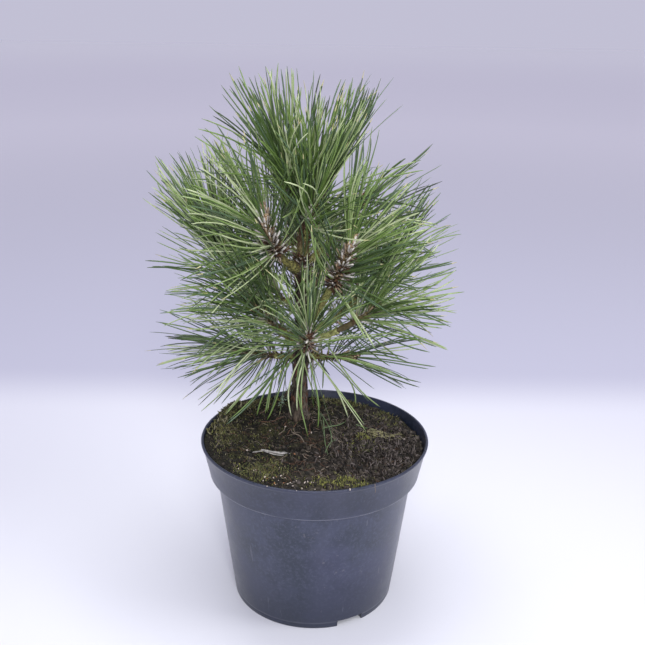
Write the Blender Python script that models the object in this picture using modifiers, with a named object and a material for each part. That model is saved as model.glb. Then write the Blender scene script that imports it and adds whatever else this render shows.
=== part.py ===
"""A young Austrian pine in a round plastic nursery pot.

Metres, +Z up. The origin is the middle of the pot's flat underside, and the
front of the plant looks along -Y. The pot holds a fill of soil, the trunk
stands on the soil, boughs leave the trunk in two whorls and at its top, and
each bough carries one shoot thick with needles.
"""
import math
import random

import bmesh
import bpy
import numpy as np
from mathutils import Vector

MM = 0.001

# Clearance between pieces that touch, and the distance at which points weld.
GAP = 0.3 * MM
WELD = 0.001 * MM

# Pot: a three litre container with a deep band under its rim.
POT_SIDES = 48
POT_HEIGHT = 144 * MM
RIM_RADIUS = 95 * MM
BAND_FOOT_RADIUS = 88.9 * MM
BAND_DEPTH = 29.4 * MM
SHELF_DROP = 1.6 * MM
BODY_TOP_RADIUS = 83.1 * MM
BASE_RADIUS = 69 * MM
FOOT_BEAD_HEIGHT = 5 * MM
FOOT_BEAD_STEP = 0.7 * MM
LIP_HEIGHT = 2.4 * MM
LIP_WIDTH = 0.8 * MM
WALL = 1.5 * MM
FLOOR = 8 * MM

# Drain channels under the floor, which end as notches in the base edge.
CHANNEL_COUNT = 3
CHANNEL_FIRST_ANGLE = math.radians(-63)
CHANNEL_WIDTH = 23 * MM
CHANNEL_HEIGHT = 6 * MM
CHANNEL_START = 26 * MM

# Soil: level below the rim, its fall to the back right, and its mounds.
SOIL_RING_RADII = (13 * MM, 26 * MM, 38 * MM, 50 * MM, 62 * MM, 73 * MM, 84 * MM)
SOIL_LEVEL = 139 * MM
SOIL_TILT = 4 * MM
SOIL_TILT_AZIMUTH = math.radians(200)
SOIL_LUMP = 0.8 * MM
SOIL_LUMP_WAVES = (190, 230, 310)
SOIL_CUT_HEIGHT = 40 * MM
TRUNK_MOUND = 6.8 * MM
TRUNK_MOUND_RADIUS = 30 * MM
MOSS_MOUND_AT = (-71 * MM, 46 * MM)
MOSS_MOUND = 6 * MM
MOSS_MOUND_RADIUS = 16 * MM
SEAT_RADIUS = 14 * MM

# Trunk: points up its middle with the radius at each, from soil level to tip.
SOIL_AT_TRUNK = 145 * MM
TRUNK_FOOT = (-14 * MM, 34 * MM)
TRUNK_LINE = (
    (0, 0, 0, 9.6),
    (0, 0, 4, 8.2),
    (0.1, 0, 12, 7.0),
    (0.4, 0, 40, 6.2),
    (2.8, -2, 66, 6.3),
    (2.8, -2.2, 78, 6.2),
    (1.8, -4.2, 112, 5.3),
    (1.6, -5.6, 136, 5.7),
    (1.8, -6.4, 146, 5.5),
    (3.4, -8, 170, 4.5),
    (4.5, -9, 185, 3.7),
    (4.3, -8.4, 194, 3.0),
)
FLARE_LOBES = 5
FLARE_HEIGHT = 12 * MM
FLARE_DEPTH = 0.16

# Boughs and shoots. Each row: name, height on the trunk (mm), azimuth, rise at
# the foot, rise at the tip (degrees), bare length, shoot length (mm), radius (mm)
# and how many needles the shoot tries to grow.
LIMBS = (
    ("front", 210, -84, 15, 45, 32, 36, 2.9, 34),
    ("right", 215, -27, 23, 41, 37, 38, 2.9, 34),
    ("right_rising", 227, -46, 49, 65, 56, 44, 3.1, 36),
    ("low_left", 203, 155, -15, 5, 26, 35, 2.6, 32),
    ("low_right", 205, 38, -24, -6, 26, 32, 2.6, 28),
    ("left", 221, -151, 22, 48, 20, 35, 2.7, 34),
    ("back_left", 213, 153, 16, 75, 79, 46, 3.1, 38),
    ("back_right", 221, 30, 13, 55, 58, 42, 3.0, 36),
    ("back", 208, 82, 15, 55, 58, 42, 3.0, 36),
    ("upper_left", 281, -140, 20, 84, 28, 37, 2.8, 34),
    ("upper_right", 285, 33, 24, 54, 38, 38, 2.8, 34),
    ("upper_back", 279, 102, 14, 50, 32, 36, 2.7, 30),
    ("top_left", 327, -154, 53, 77, 13, 28, 2.3, 32),
    ("top_right", 330, -11, 44, 66, 11, 25, 2.2, 32),
    ("inner_front", 306, -73, 42, 72, 15, 26, 2.1, 20),
    ("inner_left", 240, 172, 34, 58, 20, 28, 2.2, 24),
)
LEADER_LENGTH = 20 * MM
LEADER_RISE = 84
LEADER_AZIMUTH = 92
LEADER_NEEDLES = 28
LIMB_STEPS = 5
BOUGH_TIP_SHARE = 0.86

# Needles on each shoot.
NEEDLE_LENGTH = 84 * MM
NEEDLE_RADIUS = 1.45 * MM
NEEDLE_BEND_AT = 0.6
NEEDLE_BEND = 0.05
NEEDLE_WAIST = 0.9
NEEDLE_SAG = 0.05
NEEDLE_FIRST = 0.18
NEEDLE_LAST = 0.88
SPREAD_FIRST = 78
SPREAD_LAST = 14
SPREAD_NOISE = 7
SHORTEST_SHARE = 0.33
SPACE_MARGIN = 0.9 * MM
SPACE_FLOOR = 150 * MM
LIMB_MARGIN = 0.6 * MM
PATH_SAMPLES = 16
GOLDEN_ANGLE = math.pi * (3 - math.sqrt(5))
SEED = 41
SHOOT_TAPER = 0.12
BUD_LENGTH = 10 * MM
BUD_SHAPE = ((0.4, 2.9), (0.75, 1.8), (1, 0.4))


def clear_scene():
    """Remove whatever the open file holds."""
    for thing in list(bpy.data.objects):
        bpy.data.objects.remove(thing, do_unlink=True)


def new_collection(name):
    collection = bpy.data.collections.new(name)
    bpy.context.scene.collection.children.link(collection)
    return collection


def material(name, colour, roughness):
    made = bpy.data.materials.new(name)
    made.use_nodes = True
    shader = made.node_tree.nodes["Principled BSDF"]
    shader.inputs["Base Color"].default_value = (*colour, 1)
    shader.inputs["Roughness"].default_value = roughness
    shader.inputs["Metallic"].default_value = 0
    return made


def link_mesh(name, mesh, collection, look=None):
    made = bpy.data.objects.new(name, mesh)
    collection.objects.link(made)
    if look:
        mesh.materials.clear()
        mesh.materials.append(look)
    return made


def mesh_from_bmesh(name, shape):
    mesh = bpy.data.meshes.new(name)
    shape.to_mesh(mesh)
    shape.free()
    return mesh


def evaluated_mesh(thing):
    """The object's mesh with its modifiers applied, in its own space."""
    graph = bpy.context.evaluated_depsgraph_get()
    return bpy.data.meshes.new_from_object(thing.evaluated_get(graph))


def shade(thing, angle=math.radians(40)):
    thing.data.shade_smooth()
    thing.data.set_sharp_from_angle(angle=angle)


def turned(name, profile, collection, look):
    """Turn a profile of (radius, height) points about Z."""
    shape = bmesh.new()
    ring = [shape.verts.new((radius, 0, height)) for radius, height in profile]
    for first, second in zip(ring, ring[1:]):
        shape.edges.new((first, second))
    made = link_mesh(name, mesh_from_bmesh(name, shape), collection, look)
    screw = made.modifiers.new("turn", "SCREW")
    screw.steps = POT_SIDES
    screw.render_steps = POT_SIDES
    screw.use_merge_vertices = True
    screw.merge_threshold = WELD
    return made


def boolean(target, operation, cutter=None, group=None):
    """Cut or join a target with one other object or with a collection."""
    step = target.modifiers.new("boolean", "BOOLEAN")
    step.operation = operation
    step.solver = "EXACT"
    if group:
        step.operand_type = "COLLECTION"
        step.collection = group
    else:
        step.object = cutter


def file_cutter(cutter, name, cutters):
    """Move a new primitive to the cutters' collection, out of the render."""
    cutter.name = name
    for home in list(cutter.users_collection):
        home.objects.unlink(cutter)
    cutters.objects.link(cutter)
    cutter.hide_render = True
    cutter.display_type = "WIRE"


def body_radius(height):
    """Outer radius of the pot's body, between the foot bead and the band."""
    foot = BASE_RADIUS + FOOT_BEAD_STEP
    top = POT_HEIGHT - BAND_DEPTH - SHELF_DROP
    share = (height - FOOT_BEAD_HEIGHT) / (top - FOOT_BEAD_HEIGHT)
    return foot + (BODY_TOP_RADIUS - foot) * share


def inner_profile(clearance=0.0):
    """Inside of the pot from the middle of its floor to the rim."""
    floor = FLOOR + clearance
    shelf_foot = POT_HEIGHT - BAND_DEPTH - SHELF_DROP + WALL + clearance
    shelf_top = POT_HEIGHT - BAND_DEPTH + WALL + clearance
    inset = WALL + clearance
    return [
        (0, floor),
        (body_radius(floor) - inset, floor),
        (BODY_TOP_RADIUS - inset, shelf_foot),
        (BAND_FOOT_RADIUS - inset, shelf_top),
        (RIM_RADIUS - inset, POT_HEIGHT),
    ]


def outer_profile():
    """Outside of the pot from the rim down to the middle of its underside."""
    band_foot = POT_HEIGHT - BAND_DEPTH
    return [
        (RIM_RADIUS, POT_HEIGHT),
        (RIM_RADIUS + LIP_WIDTH, POT_HEIGHT - LIP_HEIGHT / 2),
        (RIM_RADIUS - LIP_WIDTH / 2, POT_HEIGHT - LIP_HEIGHT),
        (BAND_FOOT_RADIUS, band_foot),
        (BODY_TOP_RADIUS, band_foot - SHELF_DROP),
        (BASE_RADIUS + FOOT_BEAD_STEP, FOOT_BEAD_HEIGHT),
        (BASE_RADIUS, FOOT_BEAD_HEIGHT - FOOT_BEAD_STEP),
        (BASE_RADIUS, 0),
        (0, 0),
    ]


def make_pot(parts, cutters):
    look = material("pot plastic", (0.075, 0.083, 0.130), 0.5)
    pot = turned("pot", inner_profile() + outer_profile(), parts, look)
    length = BASE_RADIUS * 2 - CHANNEL_START
    for index in range(CHANNEL_COUNT):
        angle = CHANNEL_FIRST_ANGLE + index * math.tau / CHANNEL_COUNT
        reach = CHANNEL_START + length / 2
        bpy.ops.mesh.primitive_cube_add(size=1)
        channel = bpy.context.object
        channel.scale = (length, CHANNEL_WIDTH, CHANNEL_HEIGHT * 2)
        channel.rotation_euler = (0, 0, angle)
        channel.location = (reach * math.cos(angle), reach * math.sin(angle), 0)
        file_cutter(channel, f"channel_cutter_{index + 1}", cutters)
        boolean(pot, "DIFFERENCE", channel)
    shade(pot)


def soil_height(x, y):
    """Height of the soil's surface above the underside of the pot."""
    away = math.hypot(x, y)
    along = x * math.cos(SOIL_TILT_AZIMUTH) + y * math.sin(SOIL_TILT_AZIMUTH)
    height = SOIL_LEVEL + SOIL_TILT * along / RIM_RADIUS
    to_trunk = math.hypot(x - TRUNK_FOOT[0], y - TRUNK_FOOT[1])
    height += TRUNK_MOUND * math.exp(-((to_trunk / TRUNK_MOUND_RADIUS) ** 2))
    to_moss = math.hypot(x - MOSS_MOUND_AT[0], y - MOSS_MOUND_AT[1])
    height += MOSS_MOUND * math.exp(-((to_moss / MOSS_MOUND_RADIUS) ** 2))
    wave_x, wave_y, wave_slant = SOIL_LUMP_WAVES
    lumps = math.sin(x * wave_x + 1.3) * math.sin(y * wave_y + 0.4)
    lumps += 0.7 * math.sin((x + y / 2) * wave_slant)
    edge = 1 - min(1, away / RIM_RADIUS) ** 6
    return height + SOIL_LUMP * lumps * edge


def make_soil(parts, cutters):
    look = material("soil", (0.030, 0.020, 0.012), 0.95)
    edge = inner_profile(GAP)
    top_edge = RIM_RADIUS - WALL - GAP
    share = (SOIL_LEVEL - edge[3][1]) / (POT_HEIGHT - edge[3][1])
    top_radius = edge[3][0] + (top_edge - edge[3][0]) * share
    side = [(radius, height) for radius, height in reversed(edge[:-1])]
    top = [(0, SOIL_LEVEL)] + [(radius, SOIL_LEVEL) for radius in SOIL_RING_RADII]
    soil = turned("soil", top + [(top_radius, SOIL_LEVEL)] + side, parts, look)
    mesh = evaluated_mesh(soil)
    soil.modifiers.clear()
    soil.data = mesh
    slope = (top_edge - edge[3][0]) / (POT_HEIGHT - edge[3][1])
    for vert in mesh.vertices:
        if vert.co.z < SOIL_LEVEL - 0.1 * MM:
            continue
        rise = soil_height(vert.co.x, vert.co.y) - SOIL_LEVEL
        away = math.hypot(vert.co.x, vert.co.y)
        if away > top_radius - MM:
            stretch = 1 + slope * rise / away
            vert.co.x *= stretch
            vert.co.y *= stretch
        vert.co.z += rise
    bpy.ops.mesh.primitive_cylinder_add(
        vertices=POT_SIDES // 2, radius=SEAT_RADIUS, depth=SOIL_CUT_HEIGHT)
    seat = bpy.context.object
    seat.location = (*TRUNK_FOOT, SOIL_AT_TRUNK - GAP + SOIL_CUT_HEIGHT / 2)
    file_cutter(seat, "trunk_seat_cutter", cutters)
    boolean(soil, "DIFFERENCE", seat)
    shade(soil)


def trunk_points():
    """Points up the middle of the trunk, with the radius in mm at each."""
    foot = Vector((*TRUNK_FOOT, SOIL_AT_TRUNK))
    return [(foot + Vector((x, y, z)) * MM, radius) for x, y, z, radius in TRUNK_LINE]


def trunk_at(height):
    """The middle of the trunk at a height above the pot's underside."""
    line = trunk_points()
    for (low, _), (high, _) in zip(line, line[1:]):
        if height <= high.z:
            return low.lerp(high, (height - low.z) / (high.z - low.z))
    return line[-1][0]


def tube(name, line, collection, look=None, resolution=2):
    """A tapered round bar along points that each have a radius in mm."""
    curve = bpy.data.curves.new(name, "CURVE")
    curve.dimensions = "3D"
    curve.bevel_depth = MM
    curve.bevel_resolution = resolution
    curve.use_fill_caps = True
    spline = curve.splines.new("POLY")
    spline.points.add(len(line) - 1)
    for point, (place, radius) in zip(spline.points, line):
        point.co = (*place, 1)
        point.radius = radius
    bar = bpy.data.objects.new(name + "_curve", curve)
    collection.objects.link(bar)
    bpy.context.view_layer.update()
    mesh = evaluated_mesh(bar)
    shape = bmesh.new()
    shape.from_mesh(mesh)
    bmesh.ops.remove_doubles(shape, verts=shape.verts, dist=WELD)
    shape.to_mesh(mesh)
    shape.free()
    made = link_mesh(name, mesh, collection, look)
    made.matrix_world = bar.matrix_world
    bpy.data.objects.remove(bar, do_unlink=True)
    return made


def make_trunk(parts, look):
    trunk = tube("trunk", trunk_points(), parts, look, resolution=4)
    middle = Vector(TRUNK_FOOT)
    for vert in trunk.data.vertices:
        height = vert.co.z - SOIL_AT_TRUNK
        if height > FLARE_HEIGHT:
            continue
        away = vert.co.xy - middle
        if away.length < MM:
            continue
        lobe = math.cos(FLARE_LOBES * math.atan2(away.y, away.x))
        swell = 1 + FLARE_DEPTH * lobe * (1 - height / FLARE_HEIGHT)
        vert.co.xy = middle + away * swell
    shade(trunk)
    return trunk


def limb_path(start, azimuth, rise_foot, rise_tip, length, steps):
    """Points along a limb whose slope changes evenly from foot to tip."""
    points = [start.copy()]
    for step in range(steps):
        rise = math.radians(rise_foot + (rise_tip - rise_foot) * (step + 0.5) / steps)
        heading = Vector((math.cos(azimuth), math.sin(azimuth), 0)) * math.cos(rise)
        heading.z = math.sin(rise)
        points.append(points[-1] + heading * (length / steps))
    return points


def along(points, share):
    """The place at a share of a path's length, and the path's heading there."""
    lengths = [(b - a).length for a, b in zip(points, points[1:])]
    left = max(0.0, min(1.0, share)) * sum(lengths)
    for a, b, length in zip(points, points[1:], lengths):
        if left <= length or b is points[-1]:
            return a.lerp(b, left / length), (b - a).normalized()
        left -= length


def split_limb(path, bare, total):
    """The bough's points and the shoot's points, with the gap between them."""
    steps = range(LIMB_STEPS + 1)
    bough = [along(path, bare / total * step / LIMB_STEPS)[0] for step in steps]
    first = (bare + GAP) / total
    shoot = [along(path, first + (1 - first) * step / LIMB_STEPS)[0] for step in steps]
    return bough, shoot


def plan_limbs():
    """Every limb as its name, bough line and shoot line, with radii in mm."""
    plans = []
    for name, height, azimuth, foot, tip, bare, shoot, radius, count in LIMBS:
        start = trunk_at(height * MM)
        total = (bare + shoot) * MM
        path = limb_path(start, math.radians(azimuth), foot, tip, total, LIMB_STEPS * 2)
        bough_points, shoot_points = split_limb(path, bare * MM, total)
        tip_radius = radius * BOUGH_TIP_SHARE
        radii = [radius + (tip_radius - radius) * i / LIMB_STEPS for i in range(LIMB_STEPS + 1)]
        bough = list(zip(bough_points, radii))
        plans.append((name, bough, shoot_line(shoot_points, tip_radius), count))
    top, radius = trunk_points()[-1]
    start = top + Vector((0, 0, GAP))
    azimuth = math.radians(LEADER_AZIMUTH)
    leader = limb_path(start, azimuth, LEADER_RISE, LEADER_RISE, LEADER_LENGTH, LIMB_STEPS)
    plans.append(("leader", [], shoot_line(leader, radius), LEADER_NEEDLES))
    return plans


def shoot_line(points, radius):
    """A shoot's points and radii: an even stem, then a pointed bud."""
    taper = SHOOT_TAPER / LIMB_STEPS
    line = [(point, radius * (1 - taper * i)) for i, point in enumerate(points)]
    heading = (points[-1] - points[-2]).normalized()
    for share, width in BUD_SHAPE:
        line.append((points[-1] + heading * BUD_LENGTH * share, width))
    return line


class Space:
    """Tells whether a needle keeps to its own shoot's space and off every limb."""

    def __init__(self, plans):
        foot, tip, radius, owner, is_shoot = [], [], [], [], []
        lines = [(-1, False, trunk_points())]
        for index, (_, bough, shoot, _) in enumerate(plans):
            lines.append((index, False, bough))
            lines.append((index, True, shoot))
        for index, on_shoot, line in lines:
            for (a, ra), (b, rb) in zip(line, line[1:]):
                foot.append(a)
                tip.append(b)
                radius.append(max(ra, rb) * MM)
                owner.append(index)
                is_shoot.append(on_shoot)
        self.foot = np.array([tuple(v) for v in foot])
        self.run = np.array([tuple(v) for v in tip]) - self.foot
        self.radius = np.array(radius)
        self.owner = np.array(owner)
        self.is_shoot = np.array(is_shoot)
        self.square = (self.run ** 2).sum(1)

    def reach(self, points, index):
        """How many of the points in order lie in the space of a shoot."""
        places = np.array([tuple(v) for v in points])
        offset = places[:, None, :] - self.foot[None]
        share = np.clip((offset * self.run[None]).sum(2) / self.square[None], 0, 1)
        away = np.linalg.norm(offset - share[..., None] * self.run[None], axis=2)
        own = self.is_shoot & (self.owner == index)
        rival = self.is_shoot & (self.owner != index)
        own_away = away[:, own].min(1)
        good = own_away + SPACE_MARGIN < away[:, rival].min(1)
        clear = away - self.radius[None] - LIMB_MARGIN - NEEDLE_RADIUS
        good &= (clear[:, ~own] > 0).all(1)
        good |= own_away < NEEDLE_RADIUS
        good &= places[:, 2] > SPACE_FLOOR
        bad = np.flatnonzero(~good)
        return int(bad[0]) if len(bad) else len(points)


def needle_curve(root, heading, stem, length):
    """A function that gives the place at a share of a needle's length."""
    pull = (stem - heading * stem.dot(heading)) * NEEDLE_BEND
    sag = Vector((0, 0, -NEEDLE_SAG)) * (1 - abs(heading.z))

    def place(share):
        return root + (heading * share + (pull + sag) * share ** 2) * length

    return place


def shoot_needles(index, shoot, count, space, chance):
    """Needle curves round one shoot, each with the share of it that fits."""
    stem = [point for point, _ in shoot[:LIMB_STEPS + 1]]
    needles = []
    for number in range(count):
        share = (number + 0.5) / count
        root, heading = along(stem, NEEDLE_FIRST + (NEEDLE_LAST - NEEDLE_FIRST) * share)
        noise = chance.uniform(-SPREAD_NOISE, SPREAD_NOISE)
        spread = math.radians(SPREAD_FIRST + (SPREAD_LAST - SPREAD_FIRST) * share ** 0.8 + noise)
        turn = number * GOLDEN_ANGLE + chance.uniform(-0.2, 0.2)
        side = Vector((math.cos(turn), math.sin(turn), 0)) * math.sin(spread)
        side.z = math.cos(spread)
        out = Vector((0, 0, 1)).rotation_difference(heading) @ side
        length = NEEDLE_LENGTH * chance.uniform(0.92, 1.06)
        place = needle_curve(root, out, heading, length)
        samples = [place((i + 1) / PATH_SAMPLES) for i in range(PATH_SAMPLES)]
        fits = space.reach(samples, index) / PATH_SAMPLES
        if fits >= SHORTEST_SHARE:
            needles.append((place, fits))
    return needles


def needle_mesh(place, fits):
    """A three-sided blade that bends once and ends in a point."""
    shape = bmesh.new()
    bmesh.ops.create_cone(
        shape, cap_ends=True, segments=3, radius1=NEEDLE_RADIUS, radius2=0, depth=1)
    bmesh.ops.translate(shape, verts=shape.verts, vec=(0, 0, 0.5))
    bmesh.ops.remove_doubles(shape, verts=shape.verts, dist=1e-9)
    everything = shape.verts[:] + shape.edges[:] + shape.faces[:]
    bmesh.ops.bisect_plane(
        shape, geom=everything, plane_co=(0, 0, NEEDLE_BEND_AT), plane_no=(0, 0, 1))
    heading = (place(fits) - place(0)).normalized()
    turn = Vector((0, 0, 1)).rotation_difference(heading)
    widen = NEEDLE_WAIST / (1 - NEEDLE_BEND_AT)
    for vert in shape.verts:
        share = vert.co.z
        across = Vector((vert.co.x, vert.co.y, 0))
        if 0 < share < 1:
            across *= widen
        vert.co = place(share * fits) + turn @ across
    return mesh_from_bmesh("needle", shape)


def keep_largest(mesh):
    """Drop every loose scrap but the largest connected body."""
    shape = bmesh.new()
    shape.from_mesh(mesh)
    left = set(shape.verts)
    bodies = []
    while left:
        body = {left.pop()}
        edge = list(body)
        while edge:
            vert = edge.pop()
            for link in vert.link_edges:
                other = link.other_vert(vert)
                if other in left:
                    left.discard(other)
                    body.add(other)
                    edge.append(other)
        bodies.append(body)
    bodies.sort(key=len)
    for body in bodies[:-1]:
        bmesh.ops.delete(shape, geom=list(body), context="VERTS")
    shape.to_mesh(mesh)
    shape.free()


def make_mass(name, index, shoot, count, space, parts, look):
    """One shoot's stem and bud with its needles fused on."""
    chance = random.Random(SEED * 100 + index)
    mass = tube(name, shoot, parts, look)
    blades = new_collection(name + "_blades")
    for place, fits in shoot_needles(index, shoot, count, space, chance):
        link_mesh("needle", needle_mesh(place, fits), blades)
    boolean(mass, "UNION", group=blades)
    bpy.context.view_layer.update()
    mesh = evaluated_mesh(mass)
    mass.modifiers.clear()
    mass.data = mesh
    for blade in list(blades.objects):
        bpy.data.objects.remove(blade, do_unlink=True)
    bpy.data.collections.remove(blades)
    keep_largest(mesh)
    shade(mass)


def make_bough(name, line, trunk_room, parts, look):
    """One bare limb, cut to the trunk's side with a small clearance."""
    bough = tube(name, line, parts, look)
    boolean(bough, "DIFFERENCE", trunk_room)
    shade(bough)


def main():
    clear_scene()
    parts = new_collection("potted_austrian_pine")
    cutters = new_collection("cutters")
    make_pot(parts, cutters)
    make_soil(parts, cutters)
    bark = material("bark", (0.105, 0.075, 0.048), 0.9)
    green_bark = material("young bark", (0.130, 0.115, 0.050), 0.8)
    green = material("needles", (0.090, 0.165, 0.050), 0.55)
    make_trunk(parts, bark)
    wide = [(point, radius + GAP / MM) for point, radius in trunk_points()]
    trunk_room = tube("trunk_room", wide, cutters, resolution=4)
    file_cutter(trunk_room, "trunk_room_cutter", cutters)
    plans = plan_limbs()
    space = Space(plans)
    for index, (name, bough, shoot, count) in enumerate(plans):
        if bough:
            make_bough("bough_" + name, bough, trunk_room, parts, green_bark)
        make_mass("needles_" + name, index, shoot, count, space, parts, green)


main()
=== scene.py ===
"""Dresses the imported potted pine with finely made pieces, in metres.

The frame gives a pot, its soil, a trunk, boughs and one mass of needles for each
shoot. Every piece here is grown in the same place by the same rule, only finer.
"""
import math

import bpy
import numpy as np
from mathutils import Matrix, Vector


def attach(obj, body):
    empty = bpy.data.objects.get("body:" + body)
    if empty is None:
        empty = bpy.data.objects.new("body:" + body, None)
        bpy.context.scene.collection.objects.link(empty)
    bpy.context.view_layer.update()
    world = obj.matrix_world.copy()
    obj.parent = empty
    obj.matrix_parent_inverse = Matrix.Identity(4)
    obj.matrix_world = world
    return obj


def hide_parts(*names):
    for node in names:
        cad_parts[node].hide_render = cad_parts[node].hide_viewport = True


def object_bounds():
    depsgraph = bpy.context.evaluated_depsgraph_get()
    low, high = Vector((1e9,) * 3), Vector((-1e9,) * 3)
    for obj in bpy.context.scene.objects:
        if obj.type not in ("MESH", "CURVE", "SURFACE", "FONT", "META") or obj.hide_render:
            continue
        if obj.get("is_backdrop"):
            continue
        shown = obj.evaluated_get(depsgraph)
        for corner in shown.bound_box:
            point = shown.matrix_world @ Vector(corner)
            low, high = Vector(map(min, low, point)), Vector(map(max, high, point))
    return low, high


MM = 0.001
GOLDEN_ANGLE = math.pi * (3 - math.sqrt(5))
# Outlines of bars, beside their radius, and the shares of a line at its points.
ROUND_3, ROUND_5, ROUND_8 = (
    [(math.cos(turn), math.sin(turn)) for turn in np.arange(sides) * math.tau / sides]
    for sides in (3, 5, 8))
BLADE = [(-1, 0), (0, -0.22), (1, 0), (0, 0.22)]
HALF_ROUND = [(-1, 0), (1, 0), (0.62, 0.75), (-0.62, 0.75)]
CURL_STEPS = np.array([[0], [0.35], [0.7], [1.0]])
FLAKE_STEPS = np.array([[0], [0.3], [0.7], [1.0]])
SHEATH_STEPS = np.array([[-0.1], [0.3], [0.7], [1.0]])
TO_FRONT = np.array([[0.0, -1.0, 0.0]])

# Pot, in millimetres: the outside from the rim down, then the inside up.
POT_SIDES = 192
RIM_RADIUS = 95
POT_HEIGHT = 144
WALL = 1.5
BAND_FOOT = 114.6
BAND_FOOT_RADIUS = 88.9
SHELF = 113.0
BODY_TOP_RADIUS = 83.1
FOOT_BEAD = 5
FOOT_BEAD_RADIUS = 69.7
BASE_RADIUS = 69
FLOOR = 8
CHANNEL_COUNT = 3
CHANNEL_FIRST_ANGLE = math.radians(-63)
CHANNEL_WIDTH = 23
CHANNEL_HEIGHT = 6
CHANNEL_START = 26
# The section from the floor's middle inside, over the rim, to the base's middle: the
# radius and height of each corner, and the steps across and up that round it.
POT_SECTION = (
    (0, FLOOR),
    (FOOT_BEAD_RADIUS - WALL, FLOOR, (-2, 0), (0, 2)),
    (BODY_TOP_RADIUS - WALL, SHELF + WALL),
    (BAND_FOOT_RADIUS - WALL, BAND_FOOT + WALL),
    (RIM_RADIUS - WALL, POT_HEIGHT, (0, -1), (0.25, -0.25), (0.7, 0)),
    (RIM_RADIUS, POT_HEIGHT, (0.1, 0), (0.6, -0.3), (0.8, -0.9), (0.6, -1.8), (-0.1, -2.5),
     (-0.6, -3.6)),
    (92, 129.5),
    (BAND_FOOT_RADIUS, BAND_FOOT, (0.35, 2.2), (0.2, 0.8), (-0.3, 0.1), (-1.1, -0.3)),
    (BODY_TOP_RADIUS, SHELF, (0.9, -0.1), (0.15, -0.8), (-0.2, -2.2)),
    (78, 71),
    (73.7, 37),
    (FOOT_BEAD_RADIUS, FOOT_BEAD, (0, 1.0), (-0.15, 0.2)),
    (BASE_RADIUS, FOOT_BEAD, (0.1, -0.5), (0, -1.2)),
    (BASE_RADIUS, 0, (0, 0.8), (-0.3, 0.2), (-1, 0)),
    (0, 0),
)

# Soil, in millimetres.
SOIL_LEVEL = 139
SOIL_TILT = 4
SOIL_TILT_AZIMUTH = math.radians(200)
SOIL_LUMP = 0.8
SOIL_LUMP_WAVES = (0.190, 0.230, 0.310)
SOIL_RINGS = 104
SOIL_SECTORS = 420
# Patches of moss: middle, spread (mm), number, length (mm) and the share of each look.
MOSS_PATCHES = (
    ((-40, -58), (11, 10), 1100, 2.2, (0.38, 0.18, 0.08, 0.16, 0.04, 0.16)),
    ((-78, 8), (4, 16), 600, 2.4, (0.40, 0.10, 0.04, 0.26, 0.08, 0.12)),
    ((44, 5), (3.0, 2.6), 420, 3.2, (0.15, 0.20, 0.60, 0.05, 0, 0)),
    ((41, -12), (6, 6), 360, 2.4, (0.40, 0.25, 0.15, 0.12, 0, 0.08)),
    ((27, -74), (8, 4), 420, 2.4, (0.32, 0.15, 0.38, 0.10, 0, 0.05)),
    ((4, -77), (5, 4), 240, 2.2, (0.30, 0.12, 0.34, 0.14, 0, 0.10)),
    ((28, 84), (16, 6), 380, 2.8, (0.45, 0.15, 0.05, 0.15, 0.1, 0.1)),
    ((66, 55), (9, 12), 280, 2.6, (0.45, 0.15, 0.05, 0.2, 0.05, 0.1)),
    ((0, 60), (40, 25), 600, 1.8, (0.38, 0.15, 0.02, 0.25, 0.05, 0.15)),
    ((60, -30), (22, 22), 260, 1.6, (0.35, 0.15, 0.05, 0.25, 0, 0.2)),
    ((-60, 0), (20, 30), 900, 1.8, (0.38, 0.14, 0.02, 0.26, 0.04, 0.16)),
)
# Groups of pale chips: middle, spread (mm) and number.
CHIPS = (((-34, -70), (8, 4), 16), ((-14, -80), (9, 3.5), 20), ((-50, -58), (6, 4), 5),
         ((0, -10), (40, 40), 16))
# Crumbs on the rim: where, in degrees, and how big.
RIM_CRUMBS = ((286.5, 1.1), (248, 0.7), (262, 0.5))
# A hair that hangs over the rim, in millimetres from the rim.
RIM_HAIR_TURN = math.radians(299)
RIM_HAIR = ((0, 0, 0.2), (0.4, -0.6, -0.5), (0.2, -1.0, -2.5), (0.9, -1.0, -5), (0.5, -1.4, -7))
# The strands of the stick: from, to, radius and lift over the soil (mm).
STICK = (((-51, -28), (-38, -29.5), 0.55, 1.0), ((-44, -27), (-20, -28.5), 0.75, 1.3),
         ((-42, -29.5), (-25, -30), 0.5, 0.8), ((-34, -26.5), (-22, -27), 0.4, 1.7))
# Rootlets: from, to (mm) and look.
ROOTLETS = (
    ((-82, -24), (-77, -4), 1), ((-49, 42), (-43, 52), 1), ((-31, 3), (-26, 18), 1),
    ((-20, 6), (-6, -13), 1), ((-50, 27), (-26, 31), 2), ((-16, 20), (-24, 4), 2),
    ((-4, 22), (-8, 2), 2), ((13, 6), (24, -4), 1), ((50, -26), (58, -33), 2))
FALLEN_NEEDLES = (((3, 60), (6, 34)), ((5, 40), (13, -19)), ((7, 34), (11, -27)),
                  ((7, 14), (27, 32)), ((36, 30), (54, 20)), ((9, -24), (20, 2)))

# Trunk, in millimetres: points from soil level to tip with the radius at each.
TRUNK_FOOT = (-14, 34, 145)
TRUNK_LINE = (
    (0, 0, 0, 9.6),
    (0, 0, 4, 8.2),
    (0.1, 0, 12, 7.0),
    (0.4, 0, 40, 6.2),
    (2.8, -2, 66, 6.3),
    (2.8, -2.2, 78, 6.2),
    (1.8, -4.2, 112, 5.3),
    (1.6, -5.6, 136, 5.7),
    (1.8, -6.4, 146, 5.5),
    (3.4, -8, 170, 4.5),
    (4.5, -9, 185, 3.7),
    (4.3, -8.4, 194, 3.0),
)
FLARE_LOBES = 5
FLARE_HEIGHT = 12
FLARE_DEPTH = 0.16
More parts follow.
